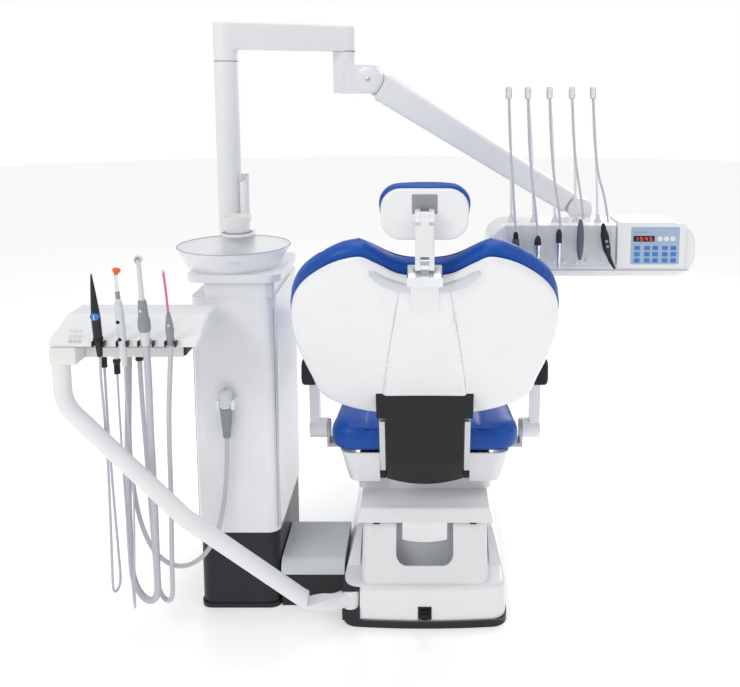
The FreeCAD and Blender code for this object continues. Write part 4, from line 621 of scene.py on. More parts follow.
def backrest():
    outline = whole(BACK_HALF)
    centre = (0, 0.3)
    layers = [(.03, .04, -.0035), (.03, .5, -.003), (.02, 1, -.0025), (.008, 1, -.004), (.001, 1, -.012),
              (0, 1, -.028), (.003, 1, -.044), (.011, 1, -.056), (.024, 1, -.0625), (.03, .96, -.064),
              (.03, .8, -.0655), (.03, .5, -.067), (.03, .04, -.067)]
    cushion = layered("backrest_upholstery", outline, centre, layers, VINYL, None, BACK)
    stuff(cushion, 0.009, 0.004)

    def channel(spot):
        half = 0.17 - 0.05 * math.cos((spot.y - 0.05) / 0.5 * math.pi)
        return min(abs(abs(spot.x) - half), abs(spot.y - 0.17))
    groove(cushion, channel, 0.004, 0.006, BACK, (0, 0, -1))
    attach(cushion, "backrest")
    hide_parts("backrest_cushion")
    ring = [(*(spot + (Vector(centre) - spot).normalized() * 0.016), -.07) for spot in even_ring(outline, 150)]
    stitched(cushion, ring + ring[:1], 0.0022, PIPING, "backrest", "backrest_piping", BACK, (0, 0, -1))

    # Hard shell on the back, with a raised middle field between two ridge lines.
    scaled = [(x * .97, .29 + (y - .29) * .97) for x, y in outline]
    rows = [(.03, .04, .0022), (.012, 1, .0022), (.0045, 1, .0022), (.001, 1, .005), (0, 1, .0085),
            (.0022, 1, .0125), (.006, 1, .016), (.012, 1, .0195)]
    rows += [(.012 + .002 * k, .995 - .03 * k, .0195 + .0185 * (1 - (1 - k / 32) ** 2.2)) for k in range(1, 32)]
    rows += [(.03, .02, .038)]
    shell = layered("backrest_shell_moulding", scaled, centre, rows, WHITE, "backrest", BACK, count=360)
    back = BACK.inverted()
    lift = BACK.to_3x3() @ Vector((0, 0, 1))
    for vertex in shell.data.vertices:
        spot = back @ vertex.co
        if spot.z < .012:
            continue
        half = ridge_half(min(1, max(0, (spot.y - RIDGE_FOOT) / RIDGE_RUN)))
        inside = min(1, max(0, (half - abs(spot.x)) / .004 + .5))
        fade = min(1, max(0, (spot.z - .012) / .01))
        vertex.co += lift * 0.0034 * fade * inside * inside * (3 - 2 * inside)
    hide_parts("backrest_shell")
    skin = skin_of(shell)
    for side, word in ((1, "right"), (-1, "left")):
        line = []
        for k in range(41):
            share = k / 40
            local = Vector((side * (ridge_half(share) + .001), RIDGE_FOOT + RIDGE_RUN * share, .08))
            hit = skin.ray_cast(BACK @ local, -lift)[0]
            if hit is not None:
                line.append(back @ hit + Vector((0, 0, -.0002)))
        wire("backrest_ridge_" + word, line, .0008, RIDGE, "backrest", BACK)
    # Painted shade: a pale grey band in the notch that the headrest bar comes out of, standing in for the shadow
    # on the white socket there.
    band = [(-.118, .548), (-.092, .512), (-.06, .497), (-.03, .4905), (0, .4885), (.03, .4905), (.06, .497),
            (.092, .512), (.118, .548)]
    upper = [(-.108, .5485), (-.082, .528), (-.058, .5155), (-.03, .508), (0, .507), (.03, .508), (.058, .5155),
             (.082, .528), (.108, .5485)]
    mesh = bmesh.new()
    rows = [[mesh.verts.new((x, y - .006, z)) for x, y in line] for line, z in
            ((upper, .012), (upper, .0265), (band, .0335), (band, .020))]
    for first, second in zip(rows, rows[1:] + rows[:1]):
        for k in range(len(band) - 1):
            mesh.faces.new((first[k], first[k + 1], second[k + 1], second[k]))
    for k in (0, -1):
        mesh.faces.new([row[k] for row in rows])
    bmesh.ops.recalc_face_normals(mesh, faces=mesh.faces)
    soften(mesh, .0015, 2)
    mesh.transform(BACK)
    piece("backrest_notch_shade", mesh, PALE, "backrest")


def headrest():
    layers = [(.02, .05, -.0385), (.016, 1, -.0385), (.006, 1, -.0395), (.001, 1, -.046), (0, 1, -.056),
              (.002, 1, -.068), (.009, 1, -.0775), (.02, 1, -.0825), (.02, .8, -.0845), (.02, .4, -.0855),
              (.02, .05, -.0855)]
    outline = slab_outline(-.064, .058, .092, .099, .044)
    cushion = layered("headrest_upholstery", outline, (0, -.003), layers, VINYL, None, HEAD, count=140,
                      smooth=False)
    stuff(cushion, 0.0055, 0.003)
    groove(cushion, lambda spot: abs(abs(spot.x) - .052), .0022, .004, HEAD, (0, 0, -1))
    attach(cushion, "headrest")
    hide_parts("headrest_cushion")
    ring = [(*(spot * .92), -.085) for spot in even_ring(outline, 90, False)]
    stitched(cushion, ring + ring[:1], 0.0016, PIPING, "headrest", "headrest_piping", HEAD, (0, 0, -1))
    rows = [(.02, .05, -.0368), (.002, 1, -.0368), (0, 1, -.0345), (.0015, 1, -.0305), (.006, 1, -.027),
            (.014, 1, -.0245), (.02, .8, -.0232), (.02, .4, -.0224), (.02, .05, -.0222)]
    shell = layered("headrest_back_shell", slab_outline(-.058, .052, .084, .093, .042), (0, -.003), rows, WHITE,
                    "headrest", HEAD, count=140, smooth=False)
    rounded_box("headrest_joint_recess", (-.027, .0, -.0236), (.027, .043, -.0212), GREY, "headrest", .0008, HEAD,
                corner=.003)


def seat():
    outline = slab_outline(-.155, 1.147, .257, .188, .07)
    low, high = .4052, .4795
    layers = [(.06, .04, low), (.05, 1, low), (.03, 1, low), (.006, 1, low + .001), (.001, 1, low + .008),
              (0, 1, low + .03), (.0015, 1, low + .048), (.009, 1, low + .063), (.02, 1, high - .003),
              (.035, 1, high - .001), (.05, 1, high), (.06, .9, high + .0005), (.06, .5, high + .001),
              (.06, .04, high + .001)]
    cushion = layered("seat_upholstery", outline, (0, .43), layers, VINYL, None, Matrix(), count=260,
                      smooth=False)
    stuff(cushion, 0.011, 0.004)
    groove(cushion, lambda spot: min(abs(spot.y - .43), abs(spot.y - .80), abs(abs(spot.x) - .15)), .0045, .008,
           Matrix(), (0, 0, 1))
    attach(cushion, "seat")
    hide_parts("seat_cushion")
    ring = []
    for spot in even_ring(outline, 200, False):
        ring.append((spot.x * .955, (spot.y - .43) * .985 + .43, .478))
    stitched(cushion, ring + ring[:1], 0.0026, PIPING, "seat", "seat_piping", Matrix(), (0, 0, 1))


# Share of a pad's length that is rounded off at each end.
PAD_END = .09


def armrest_pads():
    for side, word in ((1, "right"), (-1, "left")):
        rows = []
        for k in range(25):
            along = k / 24
            y = -.165 + .23 * along
            near = min(along, 1 - along)
            end = math.sqrt(1 - (1 - near / PAD_END) ** 2) if near < PAD_END else 1.0
            half = .0225 * (.72 + .28 * end)
            low = .5925
            top = .6615 - .012 * along + .0015 * math.sin(math.pi * along)
            mid, deep = (low + top) / 2, (top - low) / 2 * (.82 + .18 * end)
            ring = []
            for j in range(28):
                turn = TAU * j / 28
                cx, cz = math.cos(turn), math.sin(turn)
                ring.append((side * .302 + half * math.copysign(abs(cx) ** .38, cx),
                             y, mid + deep * math.copysign(abs(cz) ** .42, cz) + (.0012 if cz > .5 else 0)))
            rows.append(ring)
        pad = loft("armrest_pad_foam_" + word, rows, PAD, "armrest_" + word, angle=50)
        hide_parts("armrest_pad_" + word)
        wire("armrest_pad_seam_" + word, [(side * .302 + .0229 * side, -.150 + .2 * k / 10, .612 - .001 * k / 10)
                                          for k in range(11)], .0007, BLACK, "armrest_" + word)
        hub = Matrix.Translation((side * .316, -.04, .43)) @ rotated(90 * side, "Y")
        lathe("armrest_hub_cap_" + word, [(-.001, .021), (.0015, .0205), (.0022, .0185), (.0026, 0)], PALE,
              "armrest_" + word, hub)


# ---- hinge cover ------------------------------------------------------------

COVER_LINE = [(-.3085, .628), (-.2915, .558), (-.2755, .498), (-.2600, .438), (-.2435, .400), (-.2295, .377)]


def strap(name, line, left, right, thick, mat, body, edge=.003, bow=0.0, droop=0.0, columns=24):
    """Plate of even thickness along a line in the YZ plane; bow swells it outward and droop lowers its foot."""
    line = [Vector(p) for p in spun(line, 8)] if line[0][1] > 0 else line
    rows = []
    for column in range(columns + 1):
        x = left + (right - left) * column / columns
        off = 1 - (2 * column / columns - 1) ** 2
        front, rear = [], []
        for k, spot in enumerate(line):
            onward = line[min(k + 1, len(line) - 1)] - line[max(k - 1, 0)]
            out = Vector((onward.y, -onward.x)).normalized()
            share = k / (len(line) - 1)
            lower = Vector((0, -droop * off * share ** 8))
            rear.append(spot + out * (thick / 2 + bow * off) + lower)
            front.append(spot - out * thick / 2 + lower)
        rows.append([(x, p.x, p.y) for p in rear + front[::-1]])
    mesh = bmesh.new()
    rows = [[mesh.verts.new(p) for p in row] for row in rows]
    count = len(rows[0])
    for first, second in zip(rows, rows[1:]):
        for k in range(count):
            mesh.faces.new((first[k], first[(k + 1) % count], second[(k + 1) % count], second[k]))
    mesh.faces.new(rows[0])
    mesh.faces.new(rows[-1])
    bmesh.ops.recalc_face_normals(mesh, faces=mesh.faces)
    soften(mesh, edge, 3, 50)
    return piece(name, mesh, mat, body, 40)


def hinge_cover():
    panel = strap("hinge_cover_panel", COVER_LINE, -.0975, .0975, .013, COVER, "backrest", .0025, .0045, .012)
    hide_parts("hinge_cover")
    cap = [(-.3095, .634), (-.3015, .598), (-.2925, .562)]
    strap("hinge_cover_cap", cap, -.1195, .1195, .019, COVER, "backrest", .006, .003)
    side = [(-.2895, .552), (-.2755, .498), (-.2600, .438), (-.2470, .405)]
    for way, word in ((1, "right"), (-1, "left")):
        trim = strap("hinge_trim_" + word, side, way * .106 - .0075, way * .106 + .0075, .013, STEEL, "backrest",
                     .0022, columns=4)
        foot = [(-.2455, .4035), (-.2375, .389), (-.2310, .379)]
        strap("hinge_foot_" + word, foot, way * .106 - .008, way * .106 + .008, .014, BLACK, "backrest", .002,
              columns=4)


# ---- casings ----------------------------------------------------------------

DRESS = (
    (WHITE, ("base_housing", "lift_cover", "lift_hood", "seat_pan", "headrest_shell", "armrest_right",
             "armrest_left", "tower_shell", "cuspidor_carrier", "tray_body", "control_panel", "assist_tray")),
    (SATIN, ("carriage", "backrest_frame", "headrest_link", "tower_post", "swing_bar", "bar_knuckle",
             "balance_arm", "tray_bracket", "whips", "assist_arm")),
    (PALE, ("lift_sleeve", "link_cover")),
    (CHARCOAL, ("base_plate", "arm_socket", "tower_plinth", "link_box")),
    (BLACK, ("service_socket",)),
    (STEEL, ("lift_column_outer", "lift_column_middle", "lift_column_inner")),
    (CHROME, ("headrest_slider",)),
    (ALLOY, ("seat_frame", "tower_frame")),
)


def dress_nodes():
    for mat, names in DRESS:
        dress(mat, *names)


def base_details():
    # Black rubber buffers below the hood and the shadow gap round the middle tongue.
    for side, word in ((-1, "left"), (1, "right")):
        rounded_box("hood_buffer_" + word, (side * .126 - .0085, -.2225, .2415),
                    (side * .126 + .0085, -.2145, .2515), BLACK, "lift_top", .001)
        rounded_box("hood_lip_" + word, (min(side * .06, side * .166), -.220, .2452),
                    (max(side * .06, side * .166), -.2175, .2512), PALE, "lift_top", .0008)
    flap = rounded_box("service_flap", (-.0105, -.3015, .026), (.0105, -.2985, .040), BLACK, "root", .0012)
    rounded_box("service_flap_rib", (-.0075, -.3028, .0365), (.0075, -.3012, .0385), CHARCOAL, "root", .0005)
    rail = []
    for k in range(41):
        x = -.160 + .368 * k / 40
        rail.append((x, -.3003 + x * x * .27, .0205))
    wire("housing_seam", rail, .0007, SEAM, "root")


def tower_details():
    # Seams of the rear panel, and a pale grey band below the cuspidor that is painted shade on the right of the
    # recessed neck there.
    for name, x in (("left", -.5902), ("right", -.3838)):
        seam = [(x, -.2040, .225 + .59 * k / 12) for k in range(13)]
        wire("tower_door_seam_" + name, seam, .0007, SEAM, "root")
    # Painted shade: pale grey strip where the recessed neck below the cuspidor falls into shade.
    rounded_box("tower_neck_shade", (-.402, -.2145, .842), (-.381, -.196, .889), PALE, "cuspidor", .003)
    # Seam and trim ring where the swivelling bar sits on the column.
    ring = Matrix.Translation((-.554, .1, 1.4393))
    lathe("column_ring", [(-.0012, .0331), (-.0006, .0337), (.0006, .0337), (.0012, .0331)], SEAM, "root",
          ring, 48)


# ---- cuspidor ---------------------------------------------------------------

def cuspidor():
    at = Matrix.Translation((-.499, -.112, 0))
    wall = [(.9054, 0), (.9054, .08), (.9058, .112), (.9080, .1185), (.916, .1235), (.932, .1325), (.948, .1408),
            (.9585, .1468), (.9600, .1466), (.9600, .1432), (.9575, .1424), (.948, .1368), (.932, .1285),
            (.917, .1195), (.911, .110), (.9095, .08), (.9093, 0)]
    bowl = lathe("bowl_glass", wall, BOWL, "cuspidor", at, 96, 50)
    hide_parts("cuspidor_bowl")
    ring = [(.1450 * math.cos(TAU * k / 96), .1450 * math.sin(TAU * k / 96), .9603) for k in range(97)]
    wire("bowl_rim_line", ring, .0010, MARKS, "cuspidor", at)
    drain = lathe("bowl_drain", [(.9096, .020), (.9112, .0195), (.9118, .017), (.9112, .012), (.9098, 0)], CHROME,
                  "cuspidor", at, 40)
    for k in range(6):
        turn = TAU * k / 6
        rounded_box("drain_slot_%d" % k, (.006, -.0012, .9112), (.0145, .0012, .9120), BLACK, "cuspidor", .0003,
                    at @ Matrix.Rotation(turn, 4, "Z"))
    stand = Matrix.Translation((-.519, .022, 0))
    cup = lathe("cup_wall", [(.9706, 0), (.9706, .0315), (.9715, .0328), (.99, .0358), (1.012, .0393),
                             (1.0152, .0404), (1.0160, .0398), (1.0152, .0386), (1.011, .0380), (.99, .0345),
                             (.974, .0316), (.9728, .030), (.9726, 0)], CUP, "rinsing_cup", stand, 56)
    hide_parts("rinsing_cup")
    lathe("cup_mat", [(.9695, .0425), (.9703, .0418), (.97045, .034), (.9700, 0)], GREY, "cuspidor", stand, 48)
    # Slanted clear outlet on the water spout.
    tip = Matrix.Translation((-.508, .08, 1.126))
    lathe("spout_collar", [(-.004, .0133), (.0005, .0135), (.0012, .0128), (.0012, 0)], PALE, "cuspidor", tip, 32)
    wire("spout_outlet", [(-.508, .078, 1.105), (-.508, .062, 1.121), (-.508, .046, 1.122), (-.508, .034, 1.112)],
         .0052, FROST, "cuspidor")


# ---- dentist's tray ---------------------------------------------------------

def arm_details():
    hub = Matrix.Translation((-.1612, .2561, 1.39)) @ rotated(-10, "Z") \
        @ rotated(90)
    lathe("elbow_disc", [(.0312, .037), (.0330, .0365), (.0338, .034), (.0340, .012), (.0334, 0)], WHITE,
          "bar_knuckle", hub, 56)
    lathe("elbow_screw", [(.0338, .0075), (.0350, .0070), (.0354, .005), (.0354, 0)], STEEL,
          "bar_knuckle", hub, 28)
    wrist = Matrix.Translation((.4508, .1482, 1.0166)) @ rotated(-10, "Z") \
        @ rotated(90)
    lathe("wrist_disc", [(.0312, .030), (.0326, .0295), (.0332, .027), (.0334, 0)], WHITE,
          "tray_bracket", wrist, 56)
    seam = Matrix.Translation((-.24, .27, 1.4722))
    lathe("knuckle_seam", [(-.0014, .0331), (-.0007, .0336), (.0007, .0336), (.0014, .0331)], SEAM, "bar_knuckle",
          seam, 48)


# Lit strokes of each figure that the display shows.
SEGMENTS = {"1": "bc", "4": "bcfg", "5": "acdfg"}


def digit(name, figure, x, z, y):
    """Seven-segment figure; its strokes lie in the plane of the panel."""
    wide, tall, stroke = .0056, .0046, .0008
    strokes = {"a": (0, 2 * tall, wide, 0), "g": (0, tall, wide, 0), "d": (0, 0, wide, 0),
               "f": (0, tall, 0, tall), "b": (wide, tall, 0, tall), "c": (wide, 0, 0, tall)}
    for letter in SEGMENTS[figure]:
        dx, dz, across, up = strokes[letter]
        rounded_box("%s_%s" % (name, letter), (x + dx - stroke / 2 + (.0006 if across else 0), y - .0003,
                                               z + dz - stroke / 2 + (.0006 if up else 0)),
                    (x + dx + stroke / 2 + (across - .0006 if across else 0), y + .0003,
                     z + dz + stroke / 2 + (up - .0006 if up else 0)), LIT, "tray", .0001, segments=1)


def control_panel():
    face = -.0441
    foil = rounded_box("panel_foil", (.556, face - .0007, .893), (.687, face + .0005, .995), FOIL, "tray", .0004,
                       corner=.004, along="y")
    rounded_box("panel_mark", (.563, face - .0010, .9795), (.600, face - .0002, .9830), MARKS, "tray", .0003)
    rounded_box("panel_display", (.562, face - .0016, .9555), (.6195, face - .0002, .9715), SCREEN,
                        "tray", .0006, corner=.0015, along="y")
    for k, figure in enumerate("1545"):
        digit("display_%d" % k, figure, .5680 + .0128 * k, .9588, face - .0018)
    for k, x in enumerate((.634, .651, .668)):
        button = Matrix.Translation((x, face - .0004, .9635)) @ rotated(90)
        lathe("panel_round_key_%d" % k,
              [(-.0004, .0068), (.0008, .0066), (.0011, .0058), (.0009, .004), (.0008, 0)],
              WHITE, "tray", button, 28)
        wire("panel_round_mark_%d" % k, [(x - .002, face - .0014, .9635), (x + .002, face - .0014, .9635)], .0004,
             MARKS, "tray", sides=6)
    for row, z in enumerate((.938, .921, .904)):
        for column, x in enumerate((.573, .600, .622, .648, .671)):
            word = "%d_%d" % (row, column)
            rounded_box("panel_key_" + word, (x - .008, face - .0014, z - .0060),
                        (x + .008, face - .0003, z + .0060), KEYS, "tray", .0005, corner=.002, along="y")
            if (row + column) % 2:
                wire("panel_key_mark_" + word, [(x - .003, face - .0016, z), (x + .003, face - .0016, z)], .00045,
                     DEEP, "tray", sides=6)
            else:
                turn = [(x + .0026 * math.cos(TAU * k / 14), face - .0016, z + .0026 * math.sin(TAU * k / 14))
                        for k in range(15)]
                wire("panel_key_mark_" + word, turn, .0004, DEEP, "tray", sides=6)
    slab = rounded_box("panel_top_slab", (.5235, -.0445, 1.0012), (.6805, .0905, 1.0079), CUP, "tray", .0028,
                       corner=.012)


# Place of each whip's foot along the tray.
WHIP_FOOT = {"spray_handpiece": .238, "straight_handpiece": .300, "contra_angle": .358, "scaler": .415,
             "air_syringe": .475}


def tray_details():
    holder = rounded_box("instrument_holder", (.2165, -.0424, .8825), (.5155, -.030, .9998), PALE, "tray", .0035)
    wire("tray_lower_seam", [(.19 + .53 * k / 20, -.0303, .8745) for k in range(21)], .0007, SEAM, "tray")
    for name, (place, tip, *_) in TRAY_TOOLS.items():
        for way, word in ((-1, "_cradle_lip"), (1, "_cradle_lip_far")):
            wire(name + word, [(place + way * .0125, -.0425, .904), (place + way * .0135, -.056, .902),
                               (place + way * .0130, -.064, .901)], .0022, WHITE, "tray")
        sleeve = Matrix.Translation((tip, .0335, 1.352))
        shell = [(-.016, .0072), (-.008, .0086), (.010, .0086), (.017, .0066), (.017, .0052), (.010, .0072),
                 (-.008, .0072), (-.016, .0060)]
        lathe(name + "_clip_sleeve", shell, FROST, "tray", sleeve, 24)
        lathe(name + "_whip_foot",
              [(-.0004, .0105), (.004, .0100), (.012, .0062), (.020, .0046), (.020, 0)], PALE, "tray",
              Matrix.Translation((WHIP_FOOT[name], .01, 1.0012)), 28)


def handle(name, parts, at, body, node):
    """Instrument of several turned parts; parts are (word, profile, material)."""
    first = None
    for word, outline, mat in parts:
        item = lathe(name + "_" + word, outline, mat, body, at, 32, 40)
        first = first or item
    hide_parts(node)
    return first


def ridged(low, high, radius, count, depth=.0006):
    """Profile of a stretch with ribs."""
    out = []
    for k in range(count * 4 + 1):
        out.append((low + (high - low) * k / (count * 4), radius - (depth if k % 4 in (2, 3) else 0)))
    return out


def tray_instruments():
    y = -.066
    at = Matrix.Translation((.243, y, .901))
    handle("spray_handpiece", [
        ("grip", spun([(0, .005), (.004, .0085), (.03, .0102), (.056, .0098), (.066, .0084)])
         + [(.066, 0)], DARK),
        ("sleeve", [(.066, 0), (.066, .0079)] + ridged(.067, .079, .0072, 4)
         + [(.0815, .005), (.084, .0045), (.084, 0)], BLACK)], at, "spray_handpiece", "spray_handpiece")
    at = Matrix.Translation((.302, y, .883))
    handle("straight_handpiece", [
        ("barrel", spun([(0, .0032), (.008, .0057), (.022, .0068), (.046, .0079), (.066, .0092)])
         + [(.068, .009), (.068, 0)], CHROME),
        ("coupling", [(.068, 0), (.068, .0094), (.074, .0095), (.080, .0088), (.086, .0072), (.092, .004),
                      (.092, 0)], CHARCOAL),
        ("ring", [(.0455, .0082), (.0465, .0086), (.0485, .0086), (.0495, .0083)], STEEL)], at,
        "straight_handpiece", "straight_handpiece")
    at = Matrix.Translation((.358, y, .889))
    handle("contra_angle", [
        ("barrel", spun([(0, .0028), (.004, .0042), (.014, .0042), (.024, .0058), (.05, .0074), (.066, .0077)])
         + [(.068, .0077), (.068, 0)], CHROME),
        ("coupling", [(.068, 0), (.068, .0085)] + ridged(.070, .092, .0083, 6)
         + [(.096, .0072), (.104, .004), (.104, 0)], CHARCOAL)], at, "contra_angle", "contra_angle")
    wire("contra_angle_bur", [(.3575, y - .004, .8915), (.3565, y - .0105, .8905)], .0011, STEEL, "contra_angle")
    at = Matrix.Translation((.415, y, .908))
    handle("scaler", [
        ("body", spun([(0, .0019), (.008, .0056), (.034, .009), (.067, .0094), (.095, .0076), (.108, .0046)])
         + [(.112, .0038), (.112, 0)], SAGE),
        ("nose", [(-.004, .0012), (0, .0026), (.006, .0046), (.008, .0050), (.008, 0)], STEEL)], at, "scaler",
        "scaler")
    wire("scaler_insert", [(.415, y, .905), (.4158, y - .002, .897), (.4145, y - .005, .8915)], .0009,
         STEEL, "scaler")
    wire("scaler_cradle_hook",
         [(.404, -.043, .893), (.404, -.058, .892), (.410, -.064, .8905), (.417, -.066, .8903)],
         .0022, WHITE, "tray")
    at = Matrix.Translation((.475, y, .882))
    spots = [(.475, y, 1.0095), (.4765, y, .995), (.481, y, .97), (.486, y, .942), (.4935, y, .915),
             (.503, y - .001, .896), (.5095, y - .002, .8865)]
    line = evenly(smooth_line(spots), .003)
    whole_length = .003 * len(line)

    def grip(distance):
        share = distance / whole_length
        for low, high, start, end in ((0, .07, .0036, .0062), (.07, .28, .0062, .0113), (.28, .5, .0113, .0108),
                                      (.5, .72, .0108, .0056), (.72, 1.01, .0056, .0034)):
            if share <= high:
                t = (share - low) / (high - low)
                return start + (end - start) * t * t * (3 - 2 * t)
        return .0034
    body = piece("air_syringe_body", tube_mesh(line, grip, 24), CHARCOAL, "air_syringe", 60)
    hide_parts("air_syringe")
    lathe("air_syringe_collar", ridged(-.010, .0, .0068, 3) + [(.0, 0)], BLACK, "air_syringe",
          Matrix.Translation((.476, y, 1.002)), 28)
    for k, z in enumerate((.962, .948)):
        button = Matrix.Translation((.4835 + .003 * k, y - .0105, z)) @ rotated(90)
        lathe("air_syringe_key_%d" % k, [(-.002, .0042), (.0008, .0040), (.0014, .003), (.0012, 0)], GREY,
              "air_syringe", button, 24)


# ---- assistant's tray -------------------------------------------------------

def tilted(x, low):
    """Frame of an instrument in the assistant's tray: Z runs up the instrument from its foot."""
    lean = math.radians(8)
    foot = -.448 + (.802 - low) * math.tan(lean)
    return Matrix.Translation((x, foot, low)) @ Matrix.Rotation(lean, 4, "X")


def assistant_instruments():
    at = tilted(-.736, .766)
    handle("cautery", [
        ("shaft", [(0, 0), (0, .0058)]
         + spun([(.001, .0064), (.025, .0078), (.046, .0098), (.086, .0103), (.104, .0096), (.16, .0052),
                 (.192, .0022)]) + [(.1985, .0012), (.1985, 0)], CHARCOAL),
        ("ring", [(.040, .0100), (.041, .0112), (.046, .0112), (.047, .0102)], BLACK)], at, "cautery_handle",
        "cautery_handle")
    disc = at @ Matrix.Translation((0, -.0074, .099)) @ rotated(90)
    lathe("cautery_rocker", [(-.004, .0098), (.0012, .0096), (.0026, .0082), (.0031, .005), (.0031, 0)], BLUE,
          "cautery_handle", disc, 36)
    rounded_box("cautery_rocker_rib", (-.0008, -.0115, .0925), (.0008, -.0098, .1055), CUP,
                "cautery_handle", .0004, at)
    at = tilted(-.682, .741)
    handle("curing_light", [
        ("body", [(0, 0), (0, .0045)]
         + spun([(.002, .0052), (.04, .0082), (.075, .0097), (.12, .0099), (.15, .0088), (.166, .0052)])
         + [(.167, 0)], PALE),
        ("collar", [(.166, 0), (.166, .0050), (.168, .0056), (.174, .0048), (.176, .0054), (.181, .0050),
                    (.181, 0)], GREY),
        ("rod", [(.181, 0), (.181, .0036), (.214, .0034), (.226, .0034), (.226, 0)], FROST)], at, "curing_light",
        "curing_light")
    shield = at @ Matrix.Translation((.0015, 0, .2255)) @ rotated(14, "Y")
    lathe("curing_shield", [(-.0030, .0044), (.001, .0052), (.003, .0078), (.0075, .0094), (.0098, .0082),
                            (.0102, 0)], ORANGE, "curing_light", shield, 32)
    for k, up in enumerate((.112, .070)):
        button = at @ Matrix.Translation((-.0022, -.0088, up)) @ rotated(90)
        lathe("curing_key_%d" % k, [(-.003, .0046), (.0008, .0045), (.0016, .0036), (.0013, 0)], BLACK,
              "curing_light", button, 28)
    for k in range(3):
        mark = at @ Matrix.Translation((-.0022, -.0098, .080 + .006 * k)) @ rotated(90)
        lathe("curing_lamp_%d" % k, [(-.001, .0012), (.0004, .0011), (.0006, 0)], MARKS, "curing_light", mark, 12)
    at = tilted(-.629, .794)
    handle("suction", [
        ("sleeve", [(0, 0), (0, .0105), (.001, .0112), (.034, .0116)] + [(.035, 0)], PALE),
        ("grip", [(.034, 0), (.034, .0120)] + spun([(.037, .0136), (.05, .0143), (.06, .0136), (.072, .0112),
                                                    (.10, .0098), (.108, .0082)]) + [(.1085, 0)], STEELGREY),
        ("tube", [(.108, 0), (.108, .0062), (.15, .0054), (.19, .0051), (.203, .0052), (.204, 0)], PALE)], at,
        "suction_handpiece", "suction_handpiece")
    slider = at @ Matrix.Translation((-.002, -.0108, .086)) @ rotated(90)
    lathe("suction_slider", [(-.003, .0038), (.0012, .0037), (.0020, .0026), (.0020, 0)], STEEL,
          "suction_handpiece", slider, 24)
    mouth = at @ Matrix.Translation((0, .002, .2025)) @ rotated(78)
    lathe("suction_mouth", [(-.005, .0052), (-.001, .0092), (.004, .0098), (.0065, .0092), (.0065, .0068),
                            (.001, .0058), (-.001, .003), (-.001, 0)], PALE, "suction_handpiece", mouth, 36, 50)
    at = tilted(-.573, .794)
    handle("saliva", [
        ("grip", [(0, 0), (0, .0074), (.001, .0080), (.028, .0086), (.030, .0092)]
         + spun([(.034, .0094), (.048, .0086), (.070, .0052), (.078, .0036)]) + [(.0785, 0)], STEELGREY)], at,
        "saliva_ejector", "saliva_ejector")
    straw = [at @ Vector(p) for p in ((0, 0, .076), (-.0006, 0, .10), (-.0014, .0006, .13), (-.0030, .001, .158),
                                      (-.0036, .001, .1735))]
    wire("saliva_straw", evenly(smooth_line(straw), .004), .0027, PINK, "saliva_ejector")
    tip = at @ Matrix.Translation((-.0036, .001, .1725))
    lathe("saliva_tip", [(0, .0026), (.001, .0033), (.0045, .0033), (.006, .0022), (.006, 0)], FROST,
          "saliva_ejector", tip, 24)
    slide = at @ Matrix.Translation((.0008, -.0074, .050)) @ rotated(80)
    lathe("saliva_slider", [(-.002, .0030), (.0012, .0029), (.0016, .002), (.0016, 0)], PALE, "saliva_ejector",
          slide, 20)
    at = Matrix.Translation((-.5045, -.234, .484))
    handle("parked_handle", [
        ("lower", [(0, 0), (0, .0088), (.002, .0096)] + ridged(.006, .018, .0104, 4)
         + spun([(.020, .0112), (.05, .0138), (.074, .0158), (.0775, .016)]) + [(.078, 0)], STEELGREY),
        ("upper", [(.079, 0), (.079, .0150)] + spun([(.0815, .0166), (.10, .0169), (.118, .0160), (.125, .0135)])
         + [(.1275, .0098), (.1275, .0060), (.1205, .0056), (.1205, 0)], PALE)], at, "parked_handle",
        "parked_handle")


# Place, height and hose radius at each gland under the carrier.
GLANDS = {
    "cautery": (-.765, -.345, .706, .005), "curing": (-.735, -.345, .690, .0055),
    "suction": (-.730, -.277, .716, .011), "saliva": (-.698, -.293, .706, .008),
    "parked": (-.738, -.249, .706, .0085),
}


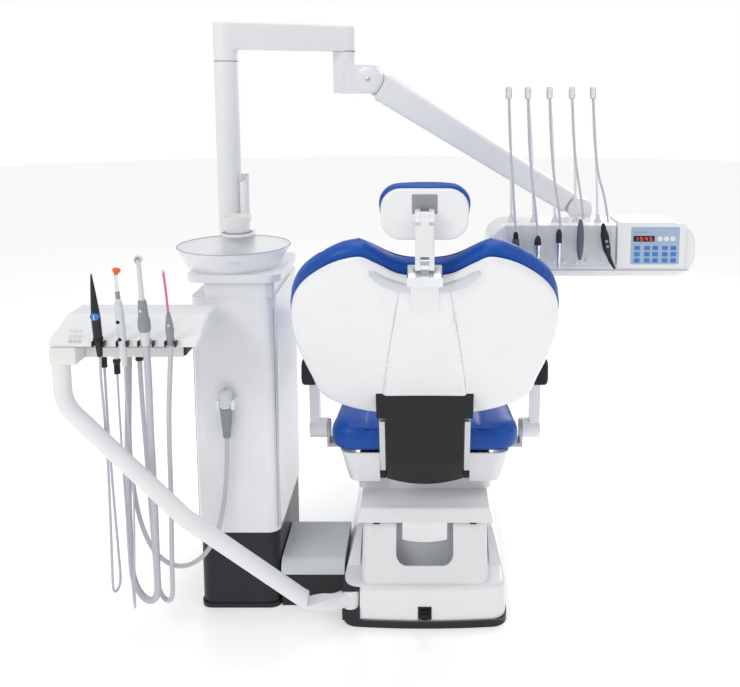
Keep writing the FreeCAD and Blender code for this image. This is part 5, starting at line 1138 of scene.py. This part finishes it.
def assistant_tray():
    for name, (x, y, z, radius) in GLANDS.items():
        at = Matrix.Translation((x, y, z))
        collar = ([(.0005, radius + .0004), (.002, radius + .0022)]
                  + ridged(.006, .026, radius + .0021, 5, .0008)
                  + [(.030, radius + .0036), (.036, radius + .0036), (.038, radius + .0004)])
        lathe(name + "_gland_boot", collar, CHARCOAL, "assistant_arm", at, 32)
    for row in range(3):
        for column in range(3):
            x, z = -.803 + .0105 * column, .7995 + .0105 * row
            y = -.4402 + max(0.0, (z - .802)) * .55
            loop = [(x + .0040 * math.cos(TAU * k / 16), y - .0006, z + .0034 * math.sin(TAU * k / 16))
                    for k in range(17)]
            wire("tray_key_%d_%d" % (row, column), loop, .00035, MARKS, "assistant_arm", sides=6)
            wire("tray_key_mark_%d_%d" % (row, column), [(x - .0013, y - .0008, z), (x + .0013, y - .0008, z)],
                 .00035, MARKS, "assistant_arm", sides=6)
    joint = [(-.846 + .28 * k / 20, -.4405, .7858) for k in range(21)]
    wire("tray_joint_line", joint, .0006, SEAM, "assistant_arm")
    cover = rounded_box("carrier_cover", (-.8495, -.4475, .7468), (-.7905, -.4455, .7846), WARM,
                        "assistant_arm", .0008, corner=.003, along="y")
    rounded_box("carrier_front", (-.7905, -.3905, .7465), (-.5640, -.3878, .7850), WARM,
                        "assistant_arm", .001, corner=.003, along="y")
    rounded_box("carrier_end_cap", (-.5632, -.385, .748), (-.5575, -.245, .784), CHARCOAL, "assistant_arm", .0015)
    boss = Matrix.Translation((-.585, -.3885, .765)) @ rotated(90)
    lathe("carrier_knob", [(-.001, .0165), (.0045, .0162), (.0062, .0145), (.0066, 0)], WARM,
          "assistant_arm", boss, 40)
    for k, (x, wide) in enumerate(((-.736, .0125), (-.682, .0118), (-.629, .0165), (-.573, .0118))):
        for side, word in ((-1, "left"), (1, "right")):
            rounded_box("instrument_cheek_%d_%s" % (k, word), (x + side * wide - .0016, -.4555, .790),
                        (x + side * wide + .0016, -.4405, .8035), CHARCOAL, "assistant_arm", .0012)


studio()
dress_nodes()
backrest()
headrest()
seat()
armrest_pads()
hinge_cover()
base_details()
tower_details()
cuspidor()
arm_details()
control_panel()
tray_details()
tray_instruments()
assistant_instruments()
assistant_tray()
hoses()
